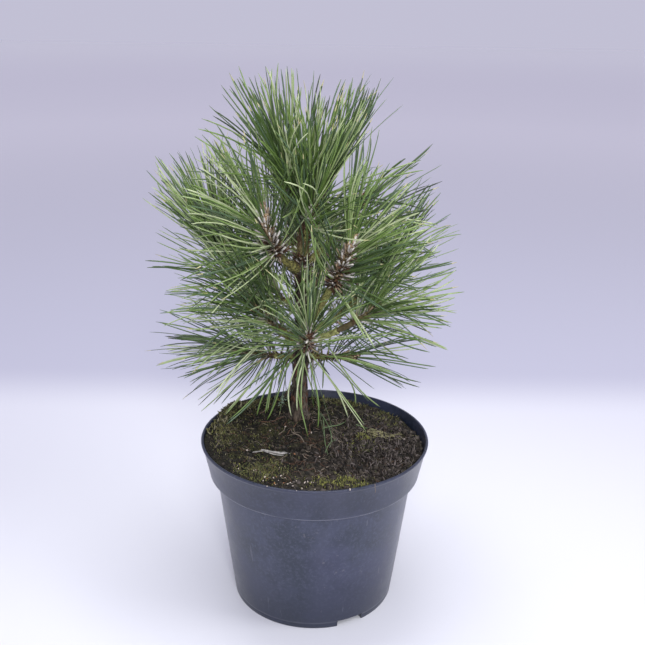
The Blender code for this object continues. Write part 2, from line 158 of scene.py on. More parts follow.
# Mounds of the soil: middle, height and radius (mm).
SOIL_MOUNDS = ((*TRUNK_FOOT[:2], 6.8, 30), (-71, 46, 6, 16))
# A short dead side twig low on the left: points and the radius at each (mm).
DEAD_TWIG = ((-18, 33, 176, 2.2), (-22, 31, 172, 1.9), (-26, 30, 167, 1.6), (-28, 30, 161, 1.3),
             (-31, 30, 158, 0.5))

# Shares of the seven greens, from dark to fresh, that a limb's needles take. They paint light and
# shade: lighter sets for limbs that should look lit, darker ones for limbs that should look shaded, and
# the even set between.
PAINTED_BRIGHT = (0.05, 0.10, 0.20, 0.06, 0.31, 0.20, 0.08)
PAINTED_LIT = (0.08, 0.15, 0.22, 0.06, 0.26, 0.16, 0.07)
EVEN = (0.12, 0.20, 0.21, 0.13, 0.18, 0.11, 0.05)
PAINTED_SHADE = (0.16, 0.24, 0.19, 0.18, 0.13, 0.07, 0.03)

# Limbs. Each row: name, height (mm), azimuth, rise at the foot and at the tip (degrees),
# bare length, shoot length and radius (mm); then the pairs of needles per mm of shoot,
# their spread at the shoot's foot and tip (degrees), and their width and length beside
# the plain ones; then their greens, the shares that paint light or shade on the limb.
LIMBS = (
    (("front", 210, -84, 15, 45, 32, 36, 2.9), (2.6, 82, 16, 0.68, 1), PAINTED_SHADE),
    (("right", 215, -27, 23, 41, 37, 38, 2.9), (2.7, 72, 12, 1, 1), PAINTED_LIT),
    (("right_rising", 227, -46, 49, 65, 56, 44, 3.1), (2.9, 72, 12, 1, 1), EVEN),
    (("low_left", 203, 155, -15, 5, 26, 35, 2.6), (2.1, 72, 12, 1, 1), PAINTED_SHADE),
    (("low_right", 205, 38, -24, -6, 26, 32, 2.6), (1.4, 76, 12, 1, 1), PAINTED_SHADE),
    (("left", 221, -151, 22, 48, 20, 35, 2.7), (1.9, 72, 12, 1, 1), EVEN),
    (("back_left", 213, 153, 16, 75, 79, 46, 3.1), (3.6, 62, 28, 1, 1.07), PAINTED_LIT),
    (("back_right", 221, 30, 13, 55, 58, 42, 3.0), (1.7, 72, 12, 1, 1), PAINTED_SHADE),
    (("back", 208, 82, 15, 55, 58, 42, 3.0), (1.8, 72, 12, 1, 1), EVEN),
    (("upper_left", 281, -140, 20, 84, 28, 37, 2.8), (3.4, 78, 8, 1, 1), PAINTED_LIT),
    (("upper_right", 285, 33, 24, 54, 38, 38, 2.8), (3.0, 60, 8, 1, 1), PAINTED_SHADE),
    (("upper_back", 279, 102, 14, 50, 32, 36, 2.7), (2.6, 60, 8, 1, 1), PAINTED_BRIGHT),
    (("top_left", 327, -154, 53, 77, 13, 28, 2.3), (4.8, 62, 17, 1, 1.03), PAINTED_LIT),
    (("top_right", 330, -11, 44, 66, 11, 25, 2.2), (4.2, 62, 12, 1, 1.05), PAINTED_SHADE),
    (("inner_front", 306, -73, 42, 72, 15, 26, 2.1), (2.6, 60, 8, 0.9, 1), PAINTED_BRIGHT),
    (("inner_left", 240, 172, 34, 58, 20, 28, 2.2), (2.2, 72, 12, 1, 1), PAINTED_BRIGHT),
    (("leader", 339, 92, 84, 84, 0, 20, 3.0), (3.0, 58, 8, 1, 0.96), PAINTED_LIT),
)
BOUGH_TIP_SHARE = 0.86
SHOOT_TAPER = 0.12
BUD_LENGTH = 10
BUDS = {"upper_left": 14, "right_rising": 12, "front": 5}
LIMB_STEP = 0.6
COLLAR_LENGTH = 6
KNOT_LIMB = "upper_left"
KNOT_AT = 10
# Heights between which old scales ring the trunk, and how many (mm).
WHORLS = ((200, 226, 90), (268, 294, 300), (322, 334, 60))
# Leaf cushions: their pitch, how far each runs down, and their height (mm).
BOUGH_CUSHION = (1.0, 8, 0.8)
SHOOT_CUSHION = (0.8, 5, 0.7)

# Needles, which grow in pairs out of a papery sheath.
NEEDLE_LENGTH = 84
NEEDLE_HALF_WIDTH = 0.65
NEEDLE_SHARES = np.array([[0], [0.08], [0.24], [0.40], [0.55], [0.69], [0.82], [0.93], [1]])
NEEDLE_WIDTHS = np.array([0.80, 0.95, 1, 1, 1, 1, 0.96, 0.84, 0.22])
NEEDLE_FOOT = 7
NEEDLE_TIP = 8
# Tufts whose needles turn further towards one side than their shoot does.
TURNED = {"top_left": (-0.27, 0, 0), "top_right": (0.10, 0, 0.10), "upper_left": (-0.10, 0, 0),
          "back_left": (-0.30, 0, 0.28), "leader": (-0.04, 0, 0), "low_left": (0.05, 0, 0.04),
          "right": (0, 0, 0.14), "right_rising": (0.06, 0, 0)}
SHAGGY_LIMBS = ("upper_left", "right_rising")
SPREAD_NOISE = 12
# Fine upright needles of the front tuft: stem (mm); pairs per mm and spreads; length.
FAN_LIMB = "front"
FAN = ((0, -0.8, 3.5), (6.5, 34, 5), 0.80)
# Stretches of the trunk that bear needles: from, to (mm), pairs per mm, spreads.
STEM_PARTS = ((290, 334, 1.9, 52, 34), (234, 274, 1.4, 64, 44), (206, 240, 1.7, 46, 26))
OLDER_PART = 0.55
LOW_OLDER_PART = 0.12
LOW_LIMBS = ("low_left", "low_right", "back")
SMOOTH_LIMBS = ("right", "right_rising", "upper_left")
FIRST_PAIR = {"right": 0.42}
PAIR_ANGLE = 0.08
LIMB_MARGIN = 0.9
NEEDLE_FLOOR = 150
SPACE_SLACK = 42
SHORTEST_SHARE = 0.6
OWN_SPACE_SHARE = 0.6
SEED = 41
NEEDLE_PIECES = {
    "needles_lower_front": ("front", "right", "right_rising", "left", "inner_left"),
    "needles_lower_back": ("low_left", "low_right", "back_left", "back_right", "back"),
    "needles_upper": ("upper_left", "upper_right", "upper_back", "inner_front"),
    "needles_top": ("top_left", "top_right", "leader"),
}

# Stretches of wood that show between the needles: the limb, from and to (a share of
# the limb, or a height on the trunk in millimetres), half the width of the gap, in
# pixels of the photo's frame, and the share of the needles in front that are left out.
OPEN_TO_WOOD = (
    ("trunk", (146, 196), 9, 0.9),
    ("trunk", (285, 306), 3.5, 0.55),
    ("upper_left", (0.15, 1.0), 7, 0.97),
    ("right_rising", (0.50, 1.0), 6, 0.95),
    ("right", (0.35, 1.0), 3.5, 0.85),
    ("front", (0.8, 1.0), 4, 0.85),
)
# Gaps of open sky, in pixels of the photo's frame: from, to, half width, and the share
# of the needles across them that are left out.
OPEN_TO_SKY = (
    ((339, 66), (329, 106), 2.5, 0.6),
    ((309, 60), (307, 104), 6, 0.6),
    ((214, 108), (240, 150), 9, 0.55),
    ((374, 150), (400, 150), 10, 0.6),
    ((165, 247), (206, 252), 9, 0.3),
    ((415, 286), (456, 272), 11, 0.3),
    ((338, 368), (360, 378), 10, 0.35),
    ((322, 366), (334, 402), 13, 0.4),
    ((318, 400), (352, 420), 13, 0.7),
    ((258, 404), (290, 414), 10, 0.6),
    ((329, 106), (321, 138), 2, 0.85),
    ((345, 168), (335, 194), 3.5, 0.85),
    ((238, 112), (256, 148), 6, 0.5),
    ((263, 166), (263, 202), 1.8, 0.6),
    ((272.5, 178), (272.5, 202), 1.8, 0.6),
    ((168, 220), (176, 238), 10, 0.4),
    ((158, 296), (184, 296), 8, 0.4),
    ((150, 330), (250, 345), 12, 0.4),
    ((385, 198), (405, 198), 9, 0.35),
    ((295, 238), (296, 256), 2, 0.85),
    ((312, 240), (312, 254), 2, 0.85),
    ((140, 206), (150, 250), 8, 0.8),
    ((133, 200), (133, 300), 9, 1),
    ((150, 378), (192, 394), 8, 0.5),
    ((135, 264), (150, 292), 6, 0.8),
    ((382, 114), (420, 146), 7, 0.85),
    ((365, 150), (385, 180), 10, 0.25),
    ((385, 160), (420, 172), 8, 0.3),
    ((450, 338), (432, 364), 9, 0.6),
    ((352, 362), (395, 384), 15, 0.25),
    ((388, 330), (432, 342), 18, 0.2),
)
FAR_AWAY = 1e6

# Drooping needles, in millimetres from root to tip.
DROOPING = (
    ((-11.9, -2.0, 251.7), (-14.7, 0.0, 230.3), (-11.0, 6.0, 209.5), (-0.3, 20.0, 169.8)),
    ((-13.3, 14.0, 219.7), (-18.3, 15.0, 191.7), (-14.0, 11.0, 172.0), (-5.7, -2.0, 142.7)),
    ((-27.1, 24.0, 206.7), (-29.7, 26.0, 185.5), (-32.5, 25.0, 162.5), (-42.1, 24.0, 145.2)),
    ((-8.3, 10.0, 216.9), (-10.6, 12.0, 196.2), (-13.0, 8.0, 179.6), (-11.1, 4.0, 164.8)),
    ((3.6, 60.0, 202.5), (6.0, 61.0, 188.0), (7.5, 62.0, 175.0), (6.5, 64.0, 158.6)),
    ((19.2, 40.0, 205.7), (28.0, 46.0, 182.0), (36.5, 53.0, 161.0), (36.6, 56.0, 146.4)),
    ((12.0, 20.0, 208.8), (29.9, 30.0, 180.9), (46.2, 38.0, 161.5), (57.9, 44.0, 150.2)),
    ((-15.0, 2.0, 212.0), (-22.0, 4.0, 194.0), (-24.0, 4.0, 176.0), (-20.0, 2.0, 160.0)),
    ((-6.0, 0.0, 212.0), (0.5, 0.0, 190.0), (4.0, -2.0, 172.0), (2.5, -4.0, 152.0)),
    ((-24.0, 10.0, 208.0), (-38.0, 12.0, 190.0), (-46.0, 12.0, 172.0), (-50.0, 12.0, 155.0)),
    ((-2.0, 6.0, 210.0), (12.0, 4.0, 196.0), (22.0, 2.0, 178.0), (28.0, 0.0, 160.0)),
    ((-12.0, 0.0, 214.0), (-13.5, -2.0, 198.0), (-16.0, -3.0, 184.0), (-15.0, -4.0, 168.0)),
)

# Camera: at the photo's viewing angle, in a square frame.
FRAME = 645
CAMERA_AT = (0, -0.6892, 0.4863)
SENSOR = 36
CAMERA_LENS = 900 / FRAME * SENSOR
CAMERA_PITCH = math.radians(19.31)
CAMERA_YAW = math.radians(0.42)
CAMERA_ROLL = math.radians(0.88)


class Value:
    """A shader socket on which maths is written as Python."""

    def __init__(self, finish, socket):
        self.finish = finish
        self.socket = socket

    def maths(self, operation, *operands):
        return self.finish.node("ShaderNodeMath", {"operation": operation}, enumerate(operands))

    def __add__(self, other):
        return self.maths("ADD", self, other)

    __radd__ = __add__

    def __sub__(self, other):
        return self.maths("SUBTRACT", self, other)

    def __rsub__(self, other):
        return self.maths("SUBTRACT", other, self)

    def __mul__(self, other):
        return self.maths("MULTIPLY", self, other)

    __rmul__ = __mul__

    def root(self):
        return self.maths("SQRT", self)

    def between(self, low, high):
        """Nought below low and one above high, with a soft step."""
        share = self.maths("DIVIDE", self - low, high - low)
        share = share.maths("MINIMUM", share.maths("MAXIMUM", share, 0), 1)
        return share * share * (3 - 2 * share)


class Finish:
    """One material: its node tree and the shader that ends it."""

    def __init__(self, name, colour, roughness, specular=0.5):
        self.material = bpy.data.materials.new(name)
        self.material.use_nodes = True
        self.tree = self.material.node_tree
        self.shader = self.tree.nodes["Principled BSDF"]
        self.set("Base Color", (*colour, 1))
        self.set("Roughness", roughness)
        self.set("Specular IOR Level", specular)

    def node(self, kind, settings=(), inputs=(), output=0):
        """Add a node: its settings first, then its sockets' values and links."""
        node = self.tree.nodes.new(kind)
        for name, value in dict(settings).items():
            setattr(node, name, value)
        for name, value in dict(inputs).items():
            if isinstance(value, Value):
                self.tree.links.new(value.socket, node.inputs[name])
            else:
                node.inputs[name].default_value = value
        return Value(self, node.outputs[output])

    def set(self, name, value):
        self.shader.inputs[name].default_value = value

    def plug(self, name, value):
        self.tree.links.new(value.socket, self.shader.inputs[name])

    def place(self):
        return self.node("ShaderNodeTexCoord", output="Object")

    def axes(self):
        """The X, Y and Z of a place on the piece, each as a number."""
        parts = self.node("ShaderNodeSeparateXYZ", inputs={0: self.place()})
        return [Value(self, socket) for socket in parts.socket.node.outputs]

    def noise(self, scale, detail=3, roughness=0.55, stretch=(1, 1, 1)):
        where = self.node("ShaderNodeMapping", inputs={
            "Vector": self.place(), "Scale": stretch})
        return self.node("ShaderNodeTexNoise", inputs={
            "Vector": where, "Scale": scale, "Detail": detail, "Roughness": roughness})

    def mix(self, mask, first, second):
        """A colour between two colours."""
        first, second = (c if isinstance(c, Value) else (*c, 1) for c in (first, second))
        return self.node("ShaderNodeMix", {"data_type": "RGBA"},
                        {"Factor": mask, 6: first, 7: second}, 2)

    def paint(self, colour, *layers):
        """Give the shader a colour and the layers over it, each as thick as its mask."""
        for mask, over in layers:
            colour = self.mix(mask, colour, over)
        self.plug("Base Color", colour)

    def bump(self, height, distance, strength=1.0):
        self.plug("Normal", self.node("ShaderNodeBump", inputs={
            "Height": height, "Distance": distance, "Strength": strength}))


def tinted(name, colour, roughness, spread=0.22, scale=220, specular=0.5):
    """A plain colour that drifts a little lighter and darker."""
    finish = Finish(name, colour, roughness, specular)
    dark, light = (tuple(min(1, part * (1 + way)) for part in colour) for way in (-spread, spread))
    finish.paint(finish.mix(finish.noise(scale, 2).between(0.3, 0.7), dark, light))
    return finish.material


def palette(*rows):
    return [tinted(*row) for row in rows]


def pot_plastic():
    """Matt blue-grey plastic, with painted shade at the foot and on the band and painted highlight
    lines along the band's ledge and the foot bead.
    """
    finish = Finish("pot_plastic", (0.034, 0.039, 0.062), 0.36, 0.48)
    finish.set("Coat Weight", 0.35)
    finish.set("Coat Roughness", 0.3)
    z = finish.axes()[2]
    cloud = finish.noise(34, 6, 0.72).between(0.38, 0.62)
    streak = finish.noise(30, 3, stretch=(1, 1, 0.16))
    # Painted highlight lines along the band's ledge and the foot bead, broken up by noise.
    highlight_breaks = finish.noise(60, 4).between(0.30, 0.62)
    ledge_highlight = z.between(0.1138, 0.1146) * (1 - z.between(0.1152, 0.1160))
    bead_highlight = z.between(0.0046, 0.0054) * (1 - z.between(0.0060, 0.0068))
    dust = finish.noise(240, 2).between(0.66, 0.74) * finish.noise(18, 2).between(0.5, 0.62)
    scratch = finish.noise(38, 2, stretch=(7, 7, 0.5)).between(0.70, 0.74)
    finish.paint(
        finish.mix(cloud, (0.009, 0.016, 0.034), (0.027, 0.035, 0.068)),
        (finish.noise(11, 2).between(0.42, 0.62) * 0.4, (0.030, 0.032, 0.080)),
        (finish.noise(380, 3, 0.7).between(0.46, 0.68) * 0.50, (0.056, 0.066, 0.112)),
        (streak.between(0.52, 0.75) * 0.35, (0.052, 0.056, 0.092)),
        # Painted shade: darker towards the foot, and over the band, which faces a little downward.
        ((1 - z.between(0.002, 0.072)) * 0.65, (0.006, 0.011, 0.026)),
        (z.between(0.1145, 0.1175) * 0.3, (0.004, 0.006, 0.020)),
        # Painted highlight lines on the ledge and the foot bead.
        (ledge_highlight * highlight_breaks * 0.8, (0.150, 0.158, 0.205)),
        (bead_highlight * highlight_breaks * 0.4, (0.080, 0.085, 0.115)),
        (dust * 0.3, (0.22, 0.21, 0.22)),
        (scratch * 0.25, (0.17, 0.17, 0.21)))
    finish.plug("Roughness", cloud * 0.10 + dust * 0.25 + 0.33)
    finish.bump(finish.noise(1900, 2) + streak * 0.8, 0.00005, 0.5)
    return finish.material


def soil_peat():
    """Dark damp humus with greyer, drier peat on the right and olive films, with painted shade in the
    hollows of its grain.
    """
    finish = Finish("soil_peat", (0.02, 0.017, 0.013), 0.95, 0.2)
    x, y, _ = finish.axes()
    crumbs = finish.noise(520, 5, 0.7)
    patches = finish.noise(60, 4, 0.6)
    grit = crumbs * 0.6 + finish.noise(190, 3, 0.6) * 0.4
    # Where the grit is low and the bump sinks it, the peat goes near-black: painted shade in the
    # hollows, over the peat's own grain.
    wet = finish.mix(grit.between(0.40, 0.68), (0.004, 0.004, 0.003), (0.040, 0.035, 0.026))
    dry = finish.mix(grit.between(0.38, 0.66), (0.004, 0.0035, 0.003), (0.088, 0.074, 0.064))
    drier = (x * 14 - y * 6 + patches * 1.6).between(0.45, 1.35)
    film = patches.between(0.48, 0.60) * crumbs.between(0.35, 0.6) * (1 - drier * 0.5)
    finish.paint(finish.mix(drier, wet, dry), (film * 0.7, (0.050, 0.050, 0.018)))
    finish.bump(grit, 0.0016)
    return finish.material


def floor_paper():
    """Pale paper, white round the pot and lavender behind it, that meets the sky softly."""
    finish = Finish("floor_paper", (0.7, 0.71, 0.745), 0.7, 0.2)
    x, y, _ = finish.axes()
    away = (x * x + y * y).root()
    near = finish.mix(away.between(0.14, 0.62), (0.695, 0.705, 0.745), (0.630, 0.635, 0.690))
    behind = finish.mix(away.between(0.3, 3.6), (0.462, 0.464, 0.552), (0.930, 0.915, 0.945))
    finish.paint(near, (away.between(0.9, 3.6), (0.940, 0.930, 0.950)),
                 (y.between(0.35, 0.50), behind), (away.between(5, 11), (0.996, 0.993, 0.994)))
    return finish.material


def old_bark():
    """Grey-brown flaking bark, reddish where plates have come away and olive higher up, with painted
    shade under the crown and at the upper whorl, and its olive lightened as painted light.
    """
    finish = Finish("old_bark", (0.08, 0.055, 0.04), 0.9, 0.25)
    z = finish.axes()[2]
    plates = finish.noise(330, 4, 0.65, (1, 1, 0.35))
    grain = finish.noise(1400, 3, 0.6, (1, 1, 0.25))
    red = finish.noise(120, 3).between(0.54, 0.64) * plates.between(0.45, 0.6)
    grey = finish.noise(75, 3).between(0.50, 0.62) * grain.between(0.45, 0.65)
    # The young bark's own olive, lightened as painted light where the top tufts shade it.
    olive = finish.mix(grain.between(0.35, 0.65), (0.058, 0.052, 0.022), (0.250, 0.222, 0.096))
    brown = finish.mix(grain.between(0.40, 0.60), (0.040, 0.025, 0.015), (0.160, 0.100, 0.060))
    # Painted shade, dark purple-brown, at the whorl where the upper boughs set off.
    whorl_shade = z.between(0.262, 0.270) * (1 - z.between(0.288, 0.296))
    young = finish.mix((z + plates * 0.02).between(0.305, 0.322), olive, brown)
    young = finish.mix(whorl_shade * 0.8, young, (0.060, 0.046, 0.044))
    finish.paint(
        finish.mix(plates.between(0.36, 0.64), (0.014, 0.011, 0.008), (0.098, 0.076, 0.056)),
        (red * 0.5, (0.135, 0.062, 0.038)),
        (grey * 0.4, (0.19, 0.175, 0.155)),
        # Painted shade on the trunk, from just under the lowest boughs upward.
        (z.between(0.195, 0.225) * 0.7, (0.024, 0.020, 0.015)),
        ((z + plates * 0.014).between(0.280, 0.294), young))
    finish.bump(plates + grain * 0.35, 0.0006, 0.7)
    return finish.material


def bough_bark():
    """Olive-brown young bark with reddish scales."""
    finish = Finish("bough_bark", (0.13, 0.1, 0.05), 0.8, 0.3)
    grain = finish.noise(900, 3, 0.6)
    finish.paint(finish.mix(grain.between(0.36, 0.64), (0.090, 0.092, 0.026), (0.320, 0.320, 0.110)),
                 (finish.noise(150, 3).between(0.54, 0.66) * 0.3, (0.120, 0.070, 0.034)))
    finish.bump(grain, 0.0004, 0.6)
    return finish.material


def unit(vectors):
    return vectors / np.maximum(np.linalg.norm(vectors, axis=-1, keepdims=True), 1e-12)


def ease(value, low, high):
    share = np.clip((value - low) / (high - low), 0, 1)
    return share * share * (3 - 2 * share)


def circle(count):
    """Angles at even steps round a circle."""
    return np.arange(count) * math.tau / count


def aim(turn, rise=0.0):
    """Directions at a turn from +X and a rise over the level."""
    return np.stack(np.broadcast_arrays(
        np.cos(turn) * np.cos(rise), np.sin(turn) * np.cos(rise), np.sin(rise)), -1)


def lumps(places, size, seed):
    """Soft random lumps from -1 to 1, each about one size across."""
    table = np.random.default_rng(seed).uniform(-1, 1, (32, 32, 32))
    cell = np.floor(places / size).astype(int)
    share = ease(places / size - cell, 0, 1)
    total = np.zeros(places.shape[:-1])
    for corner in np.ndindex(2, 2, 2):
        weight = np.where(np.array(corner) > 0, share, 1 - share).prod(-1)
        x, y, z = np.moveaxis((cell + corner) % 32, -1, 0)
        total += weight * table[x, y, z]
    return total


def sideways(vectors, chance):
    """A random direction square to each vector."""
    return unit(np.cross(vectors, chance.normal(size=vectors.shape)))


def lean(vectors, headings):
    """Turn vectors from the upright frame to the frame of each heading."""
    axis = np.cross([0.0, 0.0, 1.0], headings)
    level = headings[..., 2:]
    along = (axis * vectors).sum(-1, keepdims=True)
    return vectors * level + np.cross(axis, vectors) + axis * along / (1 + level)


def polar(reach, turn, height=0.0):
    """Places at a reach and a turn round the pot's axis."""
    return np.stack(np.broadcast_arrays(reach * np.cos(turn), reach * np.sin(turn), height), -1)


def curve(start, size, ways, shares=CURL_STEPS):
    """Lines that set off along their first way, and bend to the others further out."""
    bends = sum(way[:, None] * shares ** power for way, power in zip(ways, (1, 2, 4)))
    return start[:, None] + size[:, None, None] * bends


def skin(rings, sides):
    """Quads between rings of points that follow one another."""
    corner = np.arange(sides)
    near = np.arange(rings - 1)[:, None] * sides + corner
    far = near - corner + (corner + 1) % sides
    return np.stack([near, far, far + sides, near + sides], -1).reshape(-1, 4)


class Shape:
    """Faces gathered from many small forms, each with the number of its finish."""

    def __init__(self):
        self.points, self.faces, self.looks = [], [], []
        self.count = 0

    def add(self, points, blocks, looks=0):
        """Add points in millimetres and blocks of faces that index them."""
        if not isinstance(looks, list):
            looks = [looks] * len(blocks)
        for block, look in zip(blocks, looks):
            self.faces.append(block + self.count)
            self.looks.append(np.broadcast_to(look, len(block)))
        self.points.append(points.reshape(-1, 3))
        self.count += points.size // 3

    def add_bars(self, lines, radii, overs, section, looks=0, flat=None):
        """Closed bars along many lines, with an outline that may have its own flat look."""
        count, rings, _ = lines.shape
        section = np.array(section, float)
        sides = len(section)
        ahead = unit(np.gradient(lines, axis=1))
        across = unit(np.cross(overs[:, None], ahead))
        over = np.cross(ahead, across)
        outline = section[:, :1] * across[:, :, None] + section[:, 1:] * over[:, :, None]
        points = lines[:, :, None] + np.broadcast_to(radii, (count, rings))[..., None, None] * outline
        looks = np.array(looks)
        if looks.ndim < 2:
            looks = looks.reshape(-1, 1)
        looks = np.broadcast_to(looks, (count, rings - 1))
        round_looks = np.repeat(looks[..., None], sides, 2)
        if flat is not None:
            round_looks[:, 1:-1, 0] = flat[:, None]
        foot = np.arange(count)[:, None] * rings * sides
        corner = np.arange(sides)
        quads = (skin(rings, sides) + foot[..., None]).reshape(-1, 4)
        self.add(points, [quads, foot + corner[::-1], foot + (rings - 1) * sides + corner],
                 [round_looks.ravel(), looks[:, 0], looks[:, -1]])

    def add_wood(self, points, radii, relief, sides, look, over):
        """A round limb with relief, closed at both ends."""
        rings = len(points)
        ahead = unit(np.gradient(points, axis=0))
        across = unit(np.cross(over, ahead))
        up = np.cross(ahead, across)
        turn = circle(sides)[:, None]
        outline = np.cos(turn) * across[:, None] + np.sin(turn) * up[:, None]
        corner = np.arange(sides)[None]
        self.add(points[:, None] + (radii[:, None] + relief)[..., None] * outline,
                 [skin(rings, sides), corner[:, ::-1], (rings - 1) * sides + corner], look)

    def add_turned(self, rings, middles):
        """Rings of points round the axis, closed round a middle point at both ends."""
        count, sides, _ = rings.shape
        corner = np.arange(sides)
        after = (corner + 1) % sides
        middle = np.full(sides, count * sides)
        last = (count - 1) * sides
        self.add(np.concatenate([rings.reshape(-1, 3), middles]), [
            skin(count, sides)[:, [0, 3, 2, 1]], np.stack([middle, corner, after], -1),
            np.stack([middle + 1, last + after, last + corner], -1)])

    def piece(self, name, finishes, slot, nodes=()):
        """Make the piece, and let it ride on the plant in place of its nodes."""
        mesh = bpy.data.meshes.new(name)
        points = np.concatenate(self.points) * MM
        corners = np.concatenate([block.ravel() for block in self.faces])
        sizes = np.concatenate([np.full(len(block), block.shape[1]) for block in self.faces])
        mesh.vertices.add(len(points))
        mesh.loops.add(len(corners))
        mesh.polygons.add(len(sizes))
        mesh.vertices.foreach_set("co", points.ravel())
        for finish in finishes:
            mesh.materials.append(finish)
        for group, field, values in (
                (mesh.loops, "vertex_index", corners),
                (mesh.polygons, "loop_start", np.cumsum(sizes) - sizes),
                (mesh.polygons, "material_index", np.concatenate(self.looks))):
            group.foreach_set(field, values.astype(np.int32))
        mesh.update(calc_edges=True)
        mesh.shade_smooth()
        made = bpy.data.objects.new(name, mesh)
        bpy.context.scene.collection.objects.link(made)
        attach(made, "root")
        if nodes:
            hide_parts(*nodes)
        return made


def camera_axes():
    """The camera's right, its up and the way behind it."""
    ahead = aim(math.pi / 2 - CAMERA_YAW, -CAMERA_PITCH)
    right = aim(-CAMERA_YAW)
    up = np.cross(right, ahead)
    turn, rise = math.cos(CAMERA_ROLL), math.sin(CAMERA_ROLL)
    return turn * right + rise * up, turn * up - rise * right, -ahead


def seen(places):
    """The pixel in the photo's frame and the distance at which places show."""
    right, up, behind = camera_axes()
    offset = places - np.array(CAMERA_AT) / MM
    away = -(offset @ behind)
    scale = CAMERA_LENS / SENSOR * FRAME / away
    return np.stack([FRAME / 2 + offset @ right * scale, FRAME / 2 - offset @ up * scale], -1), away


def make_camera():
    camera = bpy.data.objects.new("camera", bpy.data.cameras.new("camera"))
    camera.data.sensor_width = SENSOR
    camera.data.sensor_fit = "HORIZONTAL"
    camera.data.lens = CAMERA_LENS
    matrix = Matrix(np.transpose(camera_axes()).tolist()).to_4x4()
    matrix.translation = CAMERA_AT
    camera.matrix_world = matrix
    bpy.context.scene.collection.objects.link(camera)
    bpy.context.scene.camera = camera


def make_stage():
    """A pale floor, three soft lamps and a pale sky."""
    world = bpy.data.worlds.new("pale_sky")
    world.use_nodes = True
    sky = world.node_tree.nodes["Background"]
    sky.inputs[0].default_value = (0.60, 0.588, 0.735, 1)
    sky.inputs[1].default_value = 0.90
    bpy.context.scene.world = world
    bpy.context.scene.view_settings.view_transform = "Standard"
    bpy.ops.mesh.primitive_plane_add(size=24)
    floor = bpy.context.object
    floor.name = "floor"
    floor.data.materials.append(floor_paper())
    floor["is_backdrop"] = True
    for name, place, size, power in (
            ("lamp_front", (0.1, -1.5, 1.10), 0.5, 21),
            ("lamp_right", (1.2, -0.4, 1.3), 0.6, 9),
            ("lamp_above", (-0.1, 0.3, 1.7), 0.8, 13)):
        light = bpy.data.lights.new(name, "AREA")
        light.size = size
        light.energy = power
        lamp = bpy.data.objects.new(name, light)
        lamp.location = place
        lamp.rotation_euler = (-lamp.location).to_track_quat("-Z", "Y").to_euler()
        bpy.context.scene.collection.objects.link(lamp)


def make_pot():
    """The pot's shell, turned round its section, with its drain channels cut out."""
    profile = np.array([(radius + across, height + up) for radius, height, *steps in POT_SECTION
                        for across, up in steps or [(0, 0)]], float)
    shape = Shape()
    shape.add_turned(polar(profile[1:-1, :1], circle(POT_SIDES), profile[1:-1, 1:]),
                     polar(0, 0, profile[[0, -1], 1]))
    pot = shape.piece("pot_shell", [pot_plastic()], "pot", ["pot"])
    length = BASE_RADIUS * 2 - CHANNEL_START
    for angle in CHANNEL_FIRST_ANGLE + circle(CHANNEL_COUNT):
        bpy.ops.mesh.primitive_cube_add(size=1)
        cutter = bpy.context.object
        cutter.scale = (length * MM, CHANNEL_WIDTH * MM, CHANNEL_HEIGHT * 2 * MM)
        cutter.rotation_euler.z = angle
        cutter.location = polar(CHANNEL_START + length / 2, angle) * MM
        bpy.context.view_layer.update()
        cut = pot.modifiers.new("channel", "BOOLEAN")
        cut.operation = "DIFFERENCE"
        cut.solver = "EXACT"
        cut.object = cutter
        bpy.context.view_layer.update()
        graph = bpy.context.evaluated_depsgraph_get()
        mesh = bpy.data.meshes.new_from_object(pot.evaluated_get(graph))
        pot.modifiers.clear()
        pot.data = mesh
        bpy.data.objects.remove(cutter, do_unlink=True)
    pot.data.shade_smooth()
    pot.data.set_sharp_from_angle(angle=math.radians(35))


def soil_height(x, y):
    """Height of the smooth soil over the underside of the pot, in millimetres."""
    along = x * math.cos(SOIL_TILT_AZIMUTH) + y * math.sin(SOIL_TILT_AZIMUTH)
    height = SOIL_LEVEL + SOIL_TILT * along / RIM_RADIUS
    for middle_x, middle_y, rise, reach in SOIL_MOUNDS:
        height = height + rise * np.exp(-((np.hypot(x - middle_x, y - middle_y) / reach) ** 2))
    wave_x, wave_y, wave_slant = SOIL_LUMP_WAVES
    waves = np.sin(x * wave_x + 1.3) * np.sin(y * wave_y + 0.4)
    waves = waves + 0.7 * np.sin((x + y / 2) * wave_slant)
    return height + SOIL_LUMP * waves * (1 - np.minimum(1, np.hypot(x, y) / RIM_RADIUS) ** 6)


def soil_top(x, y):
    """Height of the soil with its clods and crumbs, which are loosest on the right."""
    place = np.stack([x, y, np.zeros_like(x)], -1)
    loose = ease(x - y * 0.4, -25, 40)
    clods = 1.2 * lumps(place, 8.5, 11) + 0.9 * np.abs(lumps(place, 4.1, 12))
    clumps = (0.5 + 2.4 * loose) * ease(lumps(place, 4.8, 15), -0.1, 0.4)
    crumbs = 0.8 * lumps(place, 2.2, 13) + 0.4 * lumps(place, 1.2, 14)
    edge = 1 - 0.7 * ease(np.hypot(x, y), 80, 92)
    return soil_height(x, y) + (clods + clumps + crumbs - 1.2) * edge


